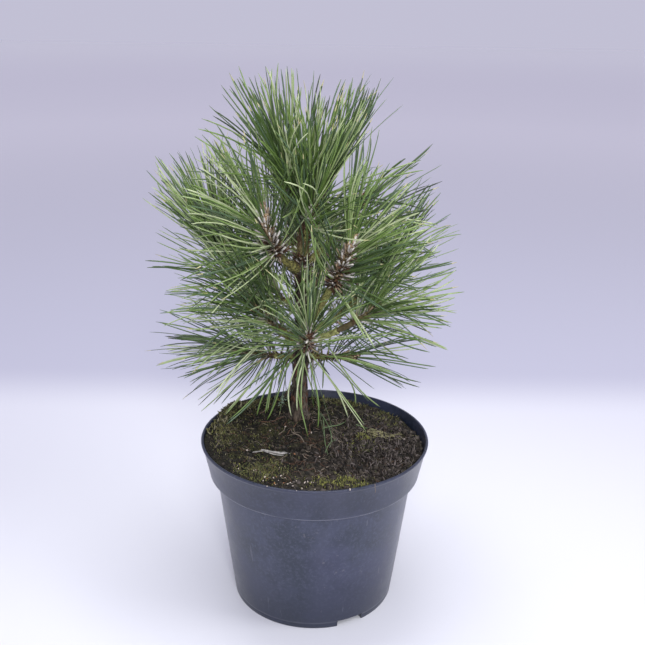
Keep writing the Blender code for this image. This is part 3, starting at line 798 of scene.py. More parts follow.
def make_soil():
    turn = circle(SOIL_SECTORS)
    share = np.arange(1, SOIL_RINGS + 1)[:, None] / SOIL_RINGS
    height = soil_height(90 * np.cos(turn), 90 * np.sin(turn))
    up_the_band = (height - BAND_FOOT - WALL) / (POT_HEIGHT - BAND_FOOT - WALL)
    wall = BAND_FOOT_RADIUS - WALL + (RIM_RADIUS - BAND_FOOT_RADIUS) * up_the_band
    top = polar(share * (wall - 0.3), turn)
    top[..., 2] = soil_top(top[..., 0], top[..., 1])
    skirts = [polar(BODY_TOP_RADIUS - WALL - 0.5, turn, SHELF),
              polar(FOOT_BEAD_RADIUS - WALL - 2.4, turn, FLOOR + 0.4)]
    shape = Shape()
    shape.add_turned(np.concatenate([top, skirts]),
                     np.concatenate([on_soil([(0, 0)]), [(0, 0, FLOOR + 0.4)]]))
    shape.piece("soil_surface", [soil_peat()], "soil", ["soil"])


def on_soil(spots, lift=0.0):
    """Places on the soil at spots across the pot."""
    spots = np.asarray(spots, float)
    return np.concatenate([spots, soil_top(spots[:, 0], spots[:, 1])[:, None] + lift], 1)


def scattered(chance, count, middle, spread, limit=90):
    """Random spots round a middle that stay inside the pot."""
    spots = chance.normal(size=(count * 2, 2)) * spread + middle
    return spots[np.hypot(*spots.T) < limit][:count]


def add_pebbles(shape, places, sizes, chance, looks):
    """Rough little lumps, each a jittered twenty-sided ball."""
    golden = (1 + math.sqrt(5)) / 2
    corners = unit(np.array([
        (-1, golden, 0), (1, golden, 0), (-1, -golden, 0), (1, -golden, 0),
        (0, -1, golden), (0, 1, golden), (0, -1, -golden), (0, 1, -golden),
        (golden, 0, -1), (golden, 0, 1), (-golden, 0, -1), (-golden, 0, 1)], float))
    faces = np.array([
        (0, 11, 5), (0, 5, 1), (0, 1, 7), (0, 7, 10), (0, 10, 11), (1, 5, 9), (5, 11, 4),
        (11, 10, 2), (10, 7, 6), (7, 1, 8), (3, 9, 4), (3, 4, 2), (3, 2, 6), (3, 6, 8),
        (3, 8, 9), (4, 9, 5), (2, 4, 11), (6, 2, 10), (8, 6, 7), (9, 8, 1)])
    count = len(places)
    rough = corners * chance.uniform(0.6, 1.25, (count, 12, 1))
    squeeze = chance.uniform(0.55, 1.1, (count, 1, 3))
    block = (faces + np.arange(count)[:, None, None] * 12).reshape(-1, 3)
    shape.add(places[:, None] + rough * squeeze * sizes[:, None, None], [block],
              np.repeat(looks, len(faces)))


def add_sprigs(shape, feet, headings, length, radius, looks, chance, section=ROUND_5, curl=0.5):
    """Small pointed leaflets that rise from their feet and curl over."""
    count = len(feet)
    size = length * chance.uniform(0.6, 1.3, count)
    over = sideways(headings, chance)
    widths = radius * np.array([0.7, 1.0, 0.8, 0.1]) * chance.uniform(0.7, 1.2, (count, 1))
    shape.add_bars(curve(feet, size, (headings, over * curl)), widths, over, section, looks)


def add_fur(shape, line, reach, count, scatter, length, radius, looks, chance):
    """Lichen or moss that stands out all round a stretch of a line."""
    feet = resample(line, chance.uniform(*reach, count)) + chance.normal(size=(count, 3)) * scatter
    headings = unit(chance.normal(size=(count, 3)))
    add_sprigs(shape, feet, headings, length, radius, chance.choice(looks, count), chance, BLADE, 0.8)


def upward(chance, count, scatter):
    heading = chance.normal(size=(count, 3)) * scatter
    heading[:, 2] = np.abs(heading[:, 2]) + 1
    return unit(heading)


def make_moss():
    """Fine moss in patches, and curled leaflets along the back left of the rim."""
    chance = np.random.default_rng(SEED + 1)
    looks = palette(
        ("moss_olive", (0.125, 0.120, 0.042), 0.8), ("moss_green", (0.084, 0.106, 0.030), 0.8),
        ("moss_yellow", (0.245, 0.250, 0.060), 0.75), ("moss_dark", (0.016, 0.017, 0.009), 0.85),
        ("moss_pale", (0.270, 0.245, 0.155), 0.8), ("moss_brown", (0.060, 0.042, 0.024), 0.85))
    shape = Shape()
    for middle, spread, count, length, shares in MOSS_PATCHES:
        spots = scattered(chance, count, middle, spread, 91)
        pick = chance.choice(len(looks), len(spots), p=shares)
        add_sprigs(shape, on_soil(spots, -0.4), upward(chance, len(spots), 0.6),
                   length, 0.34, pick, chance, ROUND_3)
    count = 1500
    angle = math.radians(140) + chance.normal(size=count) * 0.28
    spots = polar(92 - np.abs(chance.normal(size=count)) * 6, angle)[:, :2]
    pick = chance.choice(len(looks), count, p=(0.24, 0.05, 0.02, 0.38, 0.18, 0.13))
    add_sprigs(shape, on_soil(spots, -0.3), upward(chance, count, 0.8), 3.0, 0.85, pick,
               chance, BLADE, 1.0)
    shape.piece("moss", looks, "soil")


def make_crumbs():
    """Loose crumbs of peat, chips of bark and a few pale grains, also on the rim."""
    chance = np.random.default_rng(SEED + 2)
    shape = Shape()
    count = 3000
    angle = chance.uniform(0, math.tau, count)
    spots = polar(91 * np.sqrt(chance.uniform(0, 1, count)), angle)[:, :2]
    right = ease(spots[:, 0] - spots[:, 1] * 0.4, -20, 50)
    sizes = 0.35 + chance.exponential(0.45, count).clip(0, 1.8) * (1 + right * 0.5)
    pick = np.digitize(chance.uniform(0, 1, count) + right * 0.2, (0.60, 0.97, 1.185))
    pick[pick == 3] = chance.choice([2, 3, 4], (pick == 3).sum(), p=(0.8, 0.14, 0.06))
    add_pebbles(shape, on_soil(spots, 0.1), sizes, chance, pick)
    for middle, spread, number in CHIPS:
        spots = scattered(chance, number, middle, spread)
        sizes = chance.uniform(0.5, 1.15, len(spots))
        add_pebbles(shape, on_soil(spots, 0.7), sizes, chance,
                    chance.choice([3, 4], len(spots), p=(0.85, 0.15)))
    for turn, size in RIM_CRUMBS:
        add_pebbles(shape, polar(RIM_RADIUS, math.radians(turn), POT_HEIGHT)[None],
                    np.array([size]), chance, [3])
    shape.piece("soil_crumbs", palette(
        ("crumb_dark", (0.010, 0.009, 0.007), 0.95), ("crumb_brown", (0.050, 0.041, 0.031), 0.95),
        ("crumb_dry", (0.078, 0.065, 0.056), 0.95), ("chip_pale", (0.560, 0.480, 0.420), 0.85),
        ("chip_orange", (0.380, 0.180, 0.080), 0.85)), "soil")


def draped(start, end, count, lift, chance, wander, eased):
    """A line over the soil between two spots, with a little wander."""
    share = np.linspace(0, 1, count)[:, None]
    start, end = np.array(start, float), np.array(end, float)
    side = np.array([start[1] - end[1], end[0] - start[0]])
    sway = np.sin(share * math.pi) * chance.normal() + np.sin(share * math.tau) * chance.normal() * 0.5
    line = on_soil(start + (end - start) * share + side * sway * wander, lift)
    for _ in range(eased):
        line[1:-1, 2] = (line[:-2, 2] + line[1:-1, 2] + line[2:, 2]) / 3
    line[1:-1, 2] += 0.2
    return line


def make_litter():
    """A weathered stick, rootlets, a tuft of straw and fallen needles."""
    chance = np.random.default_rng(SEED + 3)
    shape = Shape()

    def lay(ends, radius, look, wander, lift=0.5, points=12, section=ROUND_5, eased=1):
        line = draped(*ends, points, lift, chance, wander, eased)[None]
        taper = np.interp(np.linspace(0, 1, points), (0, 0.1, 0.85, 1), (0.6, 1, 0.9, 0.25))
        shape.add_bars(line, radius * taper, np.array([[0.0, 0.0, 1.0]]), section, look)

    for *ends, radius, lift in STICK:
        lay(ends, radius, 0, 0.03, lift, 14, ROUND_5, 12)
    for *ends, look in ROOTLETS:
        lay(ends, 0.4, look, 0.12)
    for ends in FALLEN_NEEDLES:
        lay(ends, 0.5, 4, 0.05, 1.6, 16, ROUND_5, 12)
    for _ in range(90):
        start = scattered(chance, 4, (61, 12), (7, 2.4))[0]
        end = start + chance.normal(size=2) * (8, 2)
        lay((start, end), 0.3, 3, 0.2, chance.uniform(0.5, 2.2), 6, ROUND_3)
    for _ in range(620):
        start = scattered(chance, 4, (12, -8), (46, 46), 86)[0]
        turn = chance.uniform(0, math.tau)
        end = start + polar(chance.uniform(3, 11), turn)[:2]
        if np.hypot(*end) < 89:
            look = chance.choice([1, 2, 5], p=(0.30, 0.32, 0.38))
            radius = chance.uniform(0.14, 0.30)
            lay((start, end), radius, look, 0.25, chance.uniform(0.3, 1.0), 7, ROUND_3)
    spots = scattered(chance, 1500, (56, -22), (24, 28), 88)
    add_sprigs(shape, on_soil(spots, -0.2), upward(chance, len(spots), 1.4), 3.4, 0.75,
               chance.choice([5, 6, 7], len(spots), p=(0.30, 0.40, 0.30)), chance, BLADE, 1.1)
    hair = RIM_HAIR + polar(RIM_RADIUS, RIM_HAIR_TURN, POT_HEIGHT + 0.3)
    shape.add_bars(hair[None], 0.22, np.array([[1.0, 0.0, 0.0]]), ROUND_3, 1)
    shape.piece("litter", palette(
        ("stick_grey", (0.330, 0.315, 0.295), 0.8, 0.5, 400),
        ("rootlet_pale", (0.230, 0.185, 0.140), 0.85), ("rootlet_red", (0.110, 0.055, 0.032), 0.85),
        ("straw", (0.270, 0.250, 0.130), 0.8), ("fallen_needle", (0.130, 0.190, 0.085), 0.55),
        ("rootlet_dark", (0.030, 0.022, 0.016), 0.9), ("peat_curl", (0.125, 0.104, 0.094), 0.95),
        ("peat_curl_dark", (0.012, 0.009, 0.008), 0.95)), "soil")


def arc(points):
    """Length along a line at each of its points."""
    return np.append(0, np.cumsum(np.linalg.norm(np.diff(points, axis=0), axis=1)))


def between(at, measure, columns):
    """Each column of a table, read between its rows at places along a measure."""
    return np.stack([np.interp(at, measure, column) for column in np.transpose(columns)], -1)


def resample(points, lengths):
    """Places at given lengths along a line."""
    return between(lengths, arc(points), points)


def trunk_line(step=0.7):
    """The trunk's middle and radius at even steps, eased between its points."""
    rows = np.array(TRUNK_LINE, float)
    height = np.arange(0, rows[-1, 2] + step / 2, step)
    columns = between(height, rows[:, 2], rows[:, [0, 1, 3]]).T
    window = np.hanning(13)
    window /= window.sum()
    x, y, eased = (np.convolve(np.pad(c, 6, "edge"), window, "valid") for c in columns)
    return np.stack([x, y, height], -1) + TRUNK_FOOT, np.maximum(eased, columns[2] * 0.98)


def trunk_at(heights):
    """The trunk's middle at heights over the underside of the pot."""
    rows = np.array(TRUNK_LINE, float)
    return between(np.asarray(heights) - TRUNK_FOOT[2], rows[:, 2], rows[:, :3]) + TRUNK_FOOT


class Limb:
    """One bough with its shoot: a line, and the radius at any length along it."""

    def __init__(self, name, points, bare, radius, greens, azimuth=0):
        self.name = name
        self.points = points
        self.bare = bare
        self.radius = radius
        self.greens = greens
        self.total = arc(points)[-1]
        self.over = aim(math.radians(azimuth + 90))

    def at(self, lengths):
        """Places and headings at lengths along the limb."""
        places = resample(self.points, lengths)
        ahead = resample(self.points, np.minimum(lengths + 1, self.total))
        return places, unit(ahead - resample(self.points, np.maximum(lengths - 1, 0)))

    def radius_at(self, lengths):
        tip = self.radius * (BOUGH_TIP_SHARE if self.bare else 1)
        on_shoot = tip * (1 - SHOOT_TAPER * (lengths - self.bare) / (self.total - self.bare))
        on_bough = np.interp(lengths, (0, max(self.bare, 0.01)), (self.radius, tip))
        return np.where(lengths > self.bare, on_shoot, on_bough)

    def tip(self):
        place, heading = self.at(np.array([self.total]))
        return place[0], heading[0]

    def add_to(self, shape, lengths, radii, sides, look, cushion, seed):
        """Add a stretch of the limb with its leaf cushions."""
        pitch, ridge, depth = cushion
        scars = cushions(lengths[:, None], circle(sides), radii[:, None], pitch, ridge, seed)
        shape.add_wood(self.at(lengths)[0], radii, depth * scars - 0.3, sides, look, self.over)


def plan_limbs():
    """Every limb of the table, with a slope that changes evenly from foot to tip."""
    limbs = []
    for (name, height, azimuth, foot, tip, bare, shoot, radius), _, greens in LIMBS:
        steps = int((bare + shoot) / LIMB_STEP)
        share = (np.arange(steps) + 0.5) / steps
        heading = aim(math.radians(azimuth), np.radians(foot + (tip - foot) * share))
        start = trunk_at(height)
        points = start + np.cumsum(heading * (bare + shoot) / steps, axis=0)
        limbs.append(Limb(name, np.concatenate([[start], points]), bare, radius, greens, azimuth))
    return limbs


class Wood:
    """Every limb as short straight lengths, to keep needles off them."""

    def __init__(self, limbs):
        rows = [(-1, False, *trunk_line(6))]
        for index, limb in enumerate(limbs):
            for is_shoot, start, end in ((False, 0, limb.bare), (True, limb.bare, limb.total)):
                if end > start:
                    lengths = np.linspace(start, end, 6)
                    rows.append((index, is_shoot, limb.at(lengths)[0], limb.radius_at(lengths)))
        owners, shoots, lines, widths = zip(*rows)
        sizes = [len(line) - 1 for line in lines]
        self.owner = np.repeat(owners, sizes)
        self.shoot = np.repeat(shoots, sizes)
        self.foot = np.concatenate([line[:-1] for line in lines])
        self.run = np.concatenate([line[1:] for line in lines]) - self.foot
        self.radius = np.concatenate([width[:-1] for width in widths])
        self.square = (self.run ** 2).sum(1)

    def fits(self, lines, root_free, owner):
        """Share of each line that stays clear of the wood, and that keeps its space."""
        offset = lines[:, :, None] - self.foot
        share = np.clip((offset * self.run).sum(-1) / self.square, 0, 1)
        away = np.linalg.norm(offset - share[..., None] * self.run, axis=-1)
        own = away[:, :, self.shoot & (self.owner == owner)].min(-1)
        rival = away[:, :, self.shoot & (self.owner != owner)].min(-1)
        clear = away - self.radius - LIMB_MARGIN - NEEDLE_HALF_WIDTH
        clear[:, :, self.owner == owner] = 1
        hit = (clear < 0).any(-1) | (lines[..., 2] < NEEDLE_FLOOR)
        hit[:, :root_free] = False
        lost = own - SPACE_SLACK > rival
        return [np.where(bad.any(1), bad.argmax(1) / lines.shape[1], 1.0) for bad in (hit, lost)]


class Openings:
    """Lines of sight that the needles leave open, to the wood or to the sky."""

    def __init__(self, limbs):
        self.rows = []
        named = {limb.name: limb for limb in limbs}
        for name, reach, half, share in OPEN_TO_WOOD:
            if name == "trunk":
                ends = trunk_at(reach)
            else:
                ends = named[name].at(np.array(reach) * named[name].total)[0]
            self.rows.append((*seen(ends), half, share))
        for *ends, half, share in OPEN_TO_SKY:
            self.rows.append((np.array(ends), (FAR_AWAY, FAR_AWAY), half, share))

    def crossed(self, lines, chance):
        """The lines that are left out because they cross an opening."""
        pixels, away = seen(lines)
        out = np.zeros(len(lines), bool)
        for (start, end), (near, far), half, share in self.rows:
            run = end - start
            along = np.clip((pixels - start) @ run / (run @ run), 0, 1)
            off = np.linalg.norm(pixels - start - along[..., None] * run, axis=-1)
            hit = ((off < half) & (away < near + (far - near) * along)).any(1)
            out |= hit & (chance.uniform(size=len(lines)) < share)
        return out


class Spray:
    """The pairs of needles on one stretch of wood."""

    def __init__(self, limb, owner, ends, growth, length, chance, around):
        wood, openings = around
        start, end = ends
        per_mm, foot_spread, tip_spread = growth
        count = int((end - start) * per_mm)
        number = np.arange(count)
        share = (number + 0.5) / count
        lengths = start + (end - start) * share
        root, heading = limb.at(lengths)
        noise = chance.uniform(-SPREAD_NOISE, SPREAD_NOISE, count)
        turn = number * GOLDEN_ANGLE + chance.uniform(-0.2, 0.2, count)
        turn += 0.11 * np.sin(5 * turn + owner * 1.7)
        noise += 5 * np.sin(3 * turn + owner * 2.3)
        rise = np.radians(90 - foot_spread - (tip_spread - foot_spread) * share ** 0.8 - noise)
        out = unit(lean(aim(turn, rise), heading) + TURNED.get(limb.name, (0, 0, 0)))

        def stray(amount):
            return sideways(out, chance) * chance.normal(size=(count, 1)) * amount

        self.limb = limb
        self.heading = heading
        self.out = out
        self.foot = root + out * limb.radius_at(lengths)[:, None] * 0.75
        self.apart = sideways(out, chance)
        size = NEEDLE_LENGTH * length * chance.uniform(0.82, 1.07, count)
        bend = heading - out * (heading * out).sum(-1, keepdims=True)
        bend *= chance.uniform(-0.05, 0.24, (count, 1))
        bend[:, 2] -= chance.uniform(0.02, 0.22, count) * np.sqrt(1 - out[:, 2] ** 2)
        bend += stray(0.11)
        hook = stray(0.05)
        self.lines, tests = [], []
        self.kept = np.ones(count, bool)
        for part in (1, -1):
            ahead = unit(out + self.apart * PAIR_ANGLE * part * chance.uniform(0.3, 1.7, (count, 1)))
            ways = ahead, bend + stray(0.012), hook
            length = size * chance.uniform(0.95, 1.0, count)
            foot = self.foot + self.apart * part * 0.15
            test = curve(foot, length, ways, np.linspace(0, 1, 16)[:, None])
            fits, space = wood.fits(test, 3, owner)
            self.lines.append((part, curve(foot, length, ways, NEEDLE_SHARES * fits[:, None, None])))
            self.kept &= (fits > SHORTEST_SHARE) & (space > OWN_SPACE_SHARE)
            tests.append(test[:, 3:])
        self.kept &= ~openings.crossed(np.concatenate(tests, 1), chance)

    def add_needles(self, shape, width, chance):
        """Add the pairs in greens, some with a pale foot or a brown tip."""
        count = int(self.kept.sum())
        # Each pair's green comes from its limb's shares, which paint light or shade.
        tone = chance.choice(NEEDLE_FOOT, count, p=self.limb.greens)
        for part, line in self.lines:
            looks = np.repeat(tone[:, None], len(NEEDLE_SHARES) - 1, 1)
            looks[:, 0] = np.where(chance.uniform(size=count) < 0.6, NEEDLE_FOOT, looks[:, 0])
            looks[:, -1] = np.where(chance.uniform(size=count) < 0.15, NEEDLE_TIP, looks[:, -1])
            widths = NEEDLE_WIDTHS * width * chance.uniform(0.88, 1.1, (count, 1))
            shape.add_bars(line[self.kept], widths, self.apart[self.kept] * part, HALF_ROUND,
                           looks, np.minimum(tone + 1, NEEDLE_FOOT - 1))

    def add_sheaths(self, shape, shaggy, chance):
        """The papery sleeve round the foot of each pair, shorter where the pair has gone."""
        shown = self.kept | shaggy
        count = int(shown.sum())
        length = np.where(self.kept[shown], chance.uniform(7, 12, count), chance.uniform(2.5, 6, count))
        if shaggy:
            length = chance.uniform(8, 15, count)
        lines = curve(self.foot[shown], length, (self.out[shown],), SHEATH_STEPS)
        widths = np.array([0.65, 0.88, 0.84, 0.70]) * chance.uniform(0.8, 1.1, (count, 1))
        shares = (0.32, 0.26, 0.42) if shaggy else (0.40, 0.35, 0.25)
        shape.add_bars(lines, widths, self.apart[shown], ROUND_5, chance.choice(3, count, p=shares))

    def add_scales(self, shape, layers, bulk, chance):
        """Curling brown scales, some with pale tips, under every pair, fallen ones too."""
        count = len(self.foot)
        out, heading = self.out, self.heading
        for _ in range(layers):
            rise = unit(out + heading * chance.uniform(-0.1, 0.9, (count, 1)))
            swerve = sideways(rise, chance) * 0.4 + (out - heading) * 0.4
            size = chance.uniform(2.6, 6.0, count) * bulk
            start = self.foot - out * 0.8 - heading * chance.uniform(0.0, 1.6, (count, 1))
            start += sideways(out, chance) * chance.uniform(0, 1.5, (count, 1))
            widths = np.array([0.9, 0.95, 0.55, 0.1]) * chance.uniform(0.6, 1.15, (count, 1)) * bulk
            brown = chance.choice([3, 4], count, p=(0.6, 0.4))
            tip = chance.choice([3, 4, 0, 5], count, p=(0.2, 0.4, 0.2, 0.2))
            shape.add_bars(curve(start, size, (rise, swerve)), widths, heading, BLADE,
                           np.stack([brown, brown, tip], -1))


def add_whorl_scales(shape, low, high, count, chance):
    """Old bud scales that ring the trunk where its boughs set off."""
    centre = trunk_at(chance.uniform(low, high, count))
    side = aim(chance.uniform(0, math.tau, count))
    rise = unit(side * chance.uniform(0.2, 0.9, (count, 1)) + (0, 0, 1))
    lines = curve(centre + side * 5.6, chance.uniform(3.0, 6.5, count), (rise, side * 0.35))
    widths = np.array([0.9, 1.1, 0.7, 0.1]) * chance.uniform(0.8, 1.3, (count, 1))
    dark = chance.choice([3, 4], count, p=(0.7, 0.3))
    tip = chance.choice([0, 2, 3, 4], count, p=(0.3, 0.1, 0.3, 0.3))
    shape.add_bars(lines, widths, side, BLADE, np.stack([dark, dark, tip], -1))


def add_bud(shape, foot, heading, length, radius, looks, chance):
    """A pointed bud: a solid core under overlapping scales with loose tips."""
    shares = np.array([-0.15, 0.12, 0.4, 0.6, 0.8, 0.95, 1.0])
    widths = np.array([0.80, 0.95, 1.0, 0.82, 0.5, 0.2, 0.05]) * radius
    over = sideways(heading[None], chance)
    shape.add_bars((foot + heading * shares[:, None] * length)[None], widths, over, ROUND_8, looks[0])
    count = int(16 + length * 3)
    number = np.arange(count)
    share = -0.1 + 0.95 * number / count
    side = lean(aim(number * GOLDEN_ANGLE), np.broadcast_to(heading, (count, 3)))
    width = np.interp(share, shares, widths)[:, None]
    start = foot + heading * (share * length)[:, None] + side * (width * 0.93)
    size = chance.uniform(2.0, 3.4, count) * (length / 10) ** 0.5
    rise = np.broadcast_to(heading * 0.95, (count, 3))
    lines = curve(start, size, (rise, side * chance.uniform(0.05, 0.4, (count, 1))))
    scale = np.array([0.75, 0.9, 0.6, 0.08]) * min(1.15, radius * 0.42 + 0.1)
    shape.add_bars(lines, scale, side, BLADE, chance.choice(looks, count))


def cushions(lengths, turns, radius, pitch, ridge, seed):
    """Height of the leaf cushions, which wind up a stem in a golden spiral."""
    height = np.zeros(np.broadcast(lengths, turns).shape)
    nearest = np.floor(lengths / pitch)
    chance = np.random.default_rng(seed).uniform(-0.3, 0.3, 4096)
    for offset in range(-int(ridge / pitch) - 2, 3):
        number = nearest - offset
        below = number * pitch - lengths
        jitter = chance[number.astype(int) % 4096]
        around = gap(turns, number * GOLDEN_ANGLE + jitter) * radius
        body = np.exp(-((around / (0.26 * ridge ** 0.5 + 0.45)) ** 2))
        rise = ease(below, -0.8, 0.3) * (1 - ease(below, 0.3, ridge))
        height = np.maximum(height, body * rise)
    return height


def gap(turns, others):
    """The angle between turns, from minus to plus half a circle."""
    return np.angle(np.exp(1j * (turns - others)))


def make_trunk():
    """The trunk with bark plates below and leaf cushions above, and its root flare."""
    middle, radius = trunk_line()
    sides = 72
    turn = circle(sides)
    height = middle[:, 2] - TRUNK_FOOT[2]
    tall, wide = height[:, None], radius[:, None]
    lobe = FLARE_DEPTH * np.cos(FLARE_LOBES * turn) * (1 - ease(tall, 0, FLARE_HEIGHT))
    wrap = polar(6, turn, tall)
    plates = np.abs(lumps(wrap * (1, 1, 0.42), 2.6, 21))
    cracks = lumps(wrap * (1, 1, 0.35), 1.5, 22)
    old = 1 - ease(tall, 125, 145)
    bark = old * (0.9 * ease(plates, 0.02, 0.25) + 0.35 * cracks - 0.55)
    scars = cushions(tall, turn, wide, 1.15, 10, 23)
    knots = np.zeros_like(bark)
    for (_, at, azimuth, _, _, bare, *_), *_ in LIMBS:
        if bare:
            rise = tall + TRUNK_FOOT[2] - at
            off = gap(turn, math.radians(azimuth)) * wide
            knots += 1.5 * np.exp(-(off ** 2 + (rise * 0.8) ** 2) / 18)
    relief = wide * lobe + bark + (1 - old) * (0.85 * scars - 0.25) + np.minimum(knots, 2.2)
    points = middle.copy()
    points[0, 2] -= 2.5
    shape = Shape()
    shape.add_wood(points, radius, relief, sides, 0, TO_FRONT[0])
    chance = np.random.default_rng(SEED + 4)
    add_flakes(shape, middle, height, radius, chance)
    twig = np.array(DEAD_TWIG, float)
    shape.add_bars(twig[None, :, :3], twig[:, 3], TO_FRONT, ROUND_8, 0)
    add_fur(shape, twig[:, :3], (3, arc(twig[:, :3])[-1]), 110, 0.7, 2.2, 0.55, [3], chance)
    shape.piece("trunk_bark", [old_bark(), *palette(
        ("flake_red", (0.130, 0.056, 0.032), 0.9), ("flake_grey", (0.085, 0.064, 0.048), 0.9),
        ("lichen", (0.200, 0.270, 0.190), 0.9))], "bark", ["trunk"])


def add_flakes(shape, middle, height, radius, chance):
    """Flakes of bark that peel off the lower trunk, up or down."""
    count = 190
    at = chance.uniform(2, 122, count)
    side = aim(chance.uniform(0, math.tau, count))
    start = between(at, height, middle) + side * (np.interp(at, height, radius)[:, None] + 0.2)
    size = chance.uniform(2.5, 6.5, count)
    rise = np.array([0.0, 0.0, 1.0]) * np.where(chance.uniform(size=(count, 1)) < 0.5, 1, -1)
    peel = side * chance.uniform(0.05, 0.35, (count, 1))
    widths = np.array([0.7, 1.0, 0.85, 0.3]) * chance.uniform(0.8, 1.7, (count, 1))
    look = np.where((at < 55) & (chance.uniform(size=count) < 0.6), 1, 2)
    shape.add_bars(curve(start, size, (rise, peel), FLAKE_STEPS), widths, side, BLADE, look)


def make_boughs(limbs):
    """Each bough from its collar on the trunk to where its shoot begins."""
    shape = Shape()
    chance = np.random.default_rng(SEED + 7)
    boughs = [limb for limb in limbs if limb.bare]
    for index, limb in enumerate(boughs):
        lengths = np.arange(2.5, limb.bare + 0.7, 0.7)
        collar = 0.5 * np.exp(-((lengths - 4) / COLLAR_LENGTH) ** 2)
        joint = 0.18 * np.exp(-(((limb.bare - lengths) / 1.6) ** 2))
        radii = limb.radius_at(lengths) * (1 + collar + joint)
        if limb.name == KNOT_LIMB:
            radii += 1.2 * np.exp(-((lengths - KNOT_AT) / 5) ** 2)
            add_fur(shape, limb.at(lengths)[0], (2, 24), 260, 1.9, 2.0, 0.5, [1, 3], chance)
        look = {KNOT_LIMB: 1, "right": 2}.get(limb.name, 0)
        limb.add_to(shape, lengths, radii, 28, look, BOUGH_CUSHION, 60 + index)
    shape.piece("bough_bark", [bough_bark(), *palette(
        ("bark_mossy", (0.150, 0.140, 0.042), 0.85, 0.75, 500),
        ("bark_green", (0.290, 0.300, 0.105), 0.7, 0.5, 500),
        ("bough_moss", (0.060, 0.056, 0.020), 0.85))],
        "young_bark", ["bough_" + limb.name for limb in boughs])


def make_shoots(limbs, sprays):
    """The stems of the shoots with their sheaths, scales and buds."""
    shape, sleeves = Shape(), Shape()
    chance = np.random.default_rng(SEED + 5)
    for index, limb in enumerate(limbs):
        shaggy = limb.name in SHAGGY_LIMBS
        lengths = np.arange(limb.bare, limb.total + 0.3, 0.7)
        radii = limb.radius_at(lengths) * (1.5 if shaggy else 1)
        limb.add_to(shape, lengths, radii, 16, 7, SHOOT_CUSHION, 90 + index)
        place, heading = limb.tip()
        looks = (6, 5, 6, 4) if shaggy else (4, 4, 3, 6)
        add_bud(shape, place, heading, BUDS.get(limb.name, BUD_LENGTH), 2.0 if shaggy else 2.6,
                looks, chance)
        for side in sideways(np.repeat(heading[None], 3, 0), chance):
            add_bud(shape, place - heading * 1.5 + side * 1.6, unit(heading + side * 0.55), 6.0, 1.6,
                    looks, chance)
    # Sheaths from grey to tan, then scales and buds from brown to pale.
    finishes = palette(*((name, colour, 0.7, 0.25, 260) for name, colour in (
        ("sheath_grey", (0.330, 0.305, 0.275)), ("sheath_tan", (0.270, 0.200, 0.125)),
        ("sheath_pale", (0.640, 0.610, 0.560)), ("scale_dark", (0.034, 0.021, 0.012)),
        ("scale_brown", (0.110, 0.052, 0.026)), ("scale_pale", (0.340, 0.270, 0.205)),
        ("bud_tan", (0.620, 0.460, 0.290)), ("stem_olive", (0.110, 0.090, 0.036)))))
    shape.piece("shoots", finishes, "young_bark")
    for low, high, count in WHORLS:
        add_whorl_scales(sleeves, low, high, count, chance)
    for name, rows in sprays.items():
        shaggy = name in SHAGGY_LIMBS
        for spray in rows:
            spray.add_sheaths(sleeves, shaggy, chance)
            if spray.limb.name != "fan":
                spray.add_scales(sleeves, 6 if shaggy else 2, 1.75 if shaggy else 1, chance)
    sleeves.piece("sheaths_and_scales", finishes, "young_bark")


def grow_sprays(limbs):
    """Pairs of needles on every shoot, on the outer part of its bough and high on the trunk."""
    sprays = {}
    around = Wood(limbs), Openings(limbs)
    for index, (limb, (_, growth, _)) in enumerate(zip(limbs, LIMBS)):
        chance = np.random.default_rng(SEED * 100 + index)
        first = limb.bare + FIRST_PAIR.get(limb.name, 0.03) * (limb.total - limb.bare)
        rows = [(limb, (first, limb.total - 1.0), growth[:3], growth[4])]
        if limb.bare and limb.name not in SMOOTH_LIMBS:
            older = LOW_OLDER_PART if limb.name in LOW_LIMBS else OLDER_PART
            rows.append((limb, (limb.bare * older, limb.bare), (0.9, 78, 66), 0.92))
        if not limb.bare:
            # Needles on the trunk take the lightest greens, painted light.
            for low, high, *spread in STEM_PARTS:
                stem = Limb("stem", trunk_at(np.linspace(low, high, 12)), 0, TRUNK_LINE[-2][3], PAINTED_BRIGHT)
                rows.append((stem, (0, stem.total), spread, 0.95))
        # The fan takes the shaded greens, painted shade.
        if limb.name == FAN_LIMB:
            rise, spread, length = FAN
            tip = limb.tip()[0] - limb.tip()[1] * 3
            fan = Limb("fan", np.linspace(tip, tip + rise, 6), 0, limb.radius * 0.7, PAINTED_SHADE)
            rows.append((fan, (0, fan.total), spread, length))
        sprays[limb.name] = [Spray(bearer, index, ends, spread, length, chance, around)
                             for bearer, ends, spread, length in rows]
    return sprays


def drooping_needles(limbs):
    """Smooth curves from the wood nearest to each root, past two points, to the tip."""
    wood = np.concatenate([limb.points for limb in limbs] + [trunk_line()[0]])
    lines = []
    for root, *others in np.array(DROOPING):
        a = wood[np.linalg.norm(wood - root, axis=1).argmin()]
        b, c, d = others
        first = b + (b - a) * 0.2
        second = c + (c - d) * 0.2
        s = NEEDLE_SHARES
        lines.append(a * (1 - s) ** 3 + 3 * first * s * (1 - s) ** 2
                     + 3 * second * s ** 2 * (1 - s) + d * s ** 3)
    return np.stack(lines)


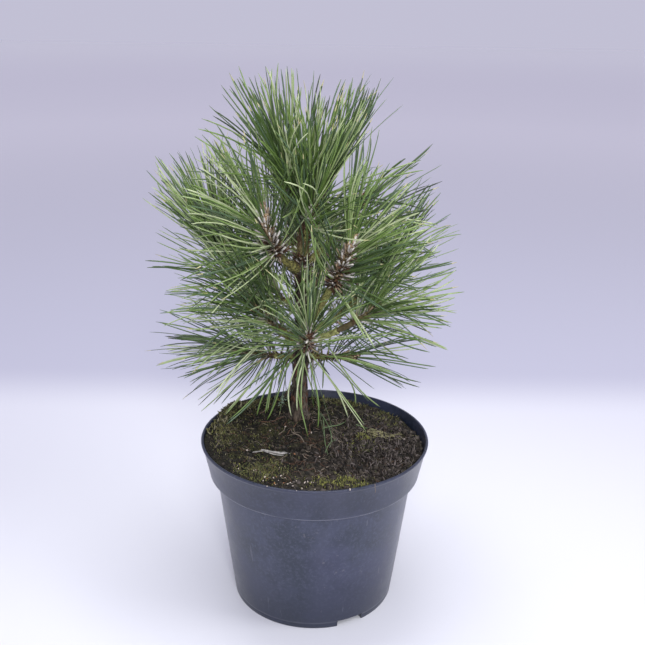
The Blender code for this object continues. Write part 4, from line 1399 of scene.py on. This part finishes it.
def make_needles(sprays, limbs):
    chance = np.random.default_rng(SEED + 6)
    widths = {name: growth[3] * NEEDLE_HALF_WIDTH for (name, *_), growth, _ in LIMBS}
    # Greens from dark to yellowish, then the pale foot and the brown tip.
    finishes = palette(*(("needle_" + name, colour, 0.33, 0.16, 90, 0.55) for name, colour in (
        ("deep", (0.023, 0.040, 0.012)), ("dark", (0.046, 0.080, 0.021)),
        ("green", (0.083, 0.146, 0.032)), ("blue", (0.092, 0.150, 0.078)),
        ("mid", (0.158, 0.248, 0.060)), ("light", (0.275, 0.370, 0.140)),
        ("fresh", (0.470, 0.540, 0.300)), ("foot", (0.250, 0.310, 0.090)),
        ("tip", (0.450, 0.420, 0.210)))))
    for name, masses in NEEDLE_PIECES.items():
        shape = Shape()
        for mass in masses:
            for spray in sprays[mass]:
                spray.add_needles(shape, widths[mass], chance)
        if name == "needles_lower_front":
            lines = drooping_needles(limbs)
            shape.add_bars(lines, NEEDLE_WIDTHS * NEEDLE_HALF_WIDTH, np.tile(TO_FRONT, (len(lines), 1)),
                           HALF_ROUND, chance.choice([4, 5, 6], len(lines)))
        shape.piece(name, finishes, "needles", ["needles_" + mass for mass in masses])


def corners(box):
    return [list(corner) for corner in box]


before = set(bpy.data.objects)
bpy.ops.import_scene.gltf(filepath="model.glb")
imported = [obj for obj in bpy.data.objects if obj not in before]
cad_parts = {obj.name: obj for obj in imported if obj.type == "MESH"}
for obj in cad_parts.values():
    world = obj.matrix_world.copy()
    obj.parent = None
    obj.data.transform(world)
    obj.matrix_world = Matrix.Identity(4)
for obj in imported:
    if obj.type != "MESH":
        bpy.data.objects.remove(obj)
cad_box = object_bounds()
make_camera()
make_stage()
make_pot()
make_soil()
make_moss()
make_crumbs()
make_litter()
all_limbs = plan_limbs()
make_trunk()
make_boughs(all_limbs)
all_sprays = grow_sprays(all_limbs)
make_shoots(all_limbs, all_sprays)
make_needles(all_sprays, all_limbs)
{"cad": corners(cad_box), "visual": corners(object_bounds())}
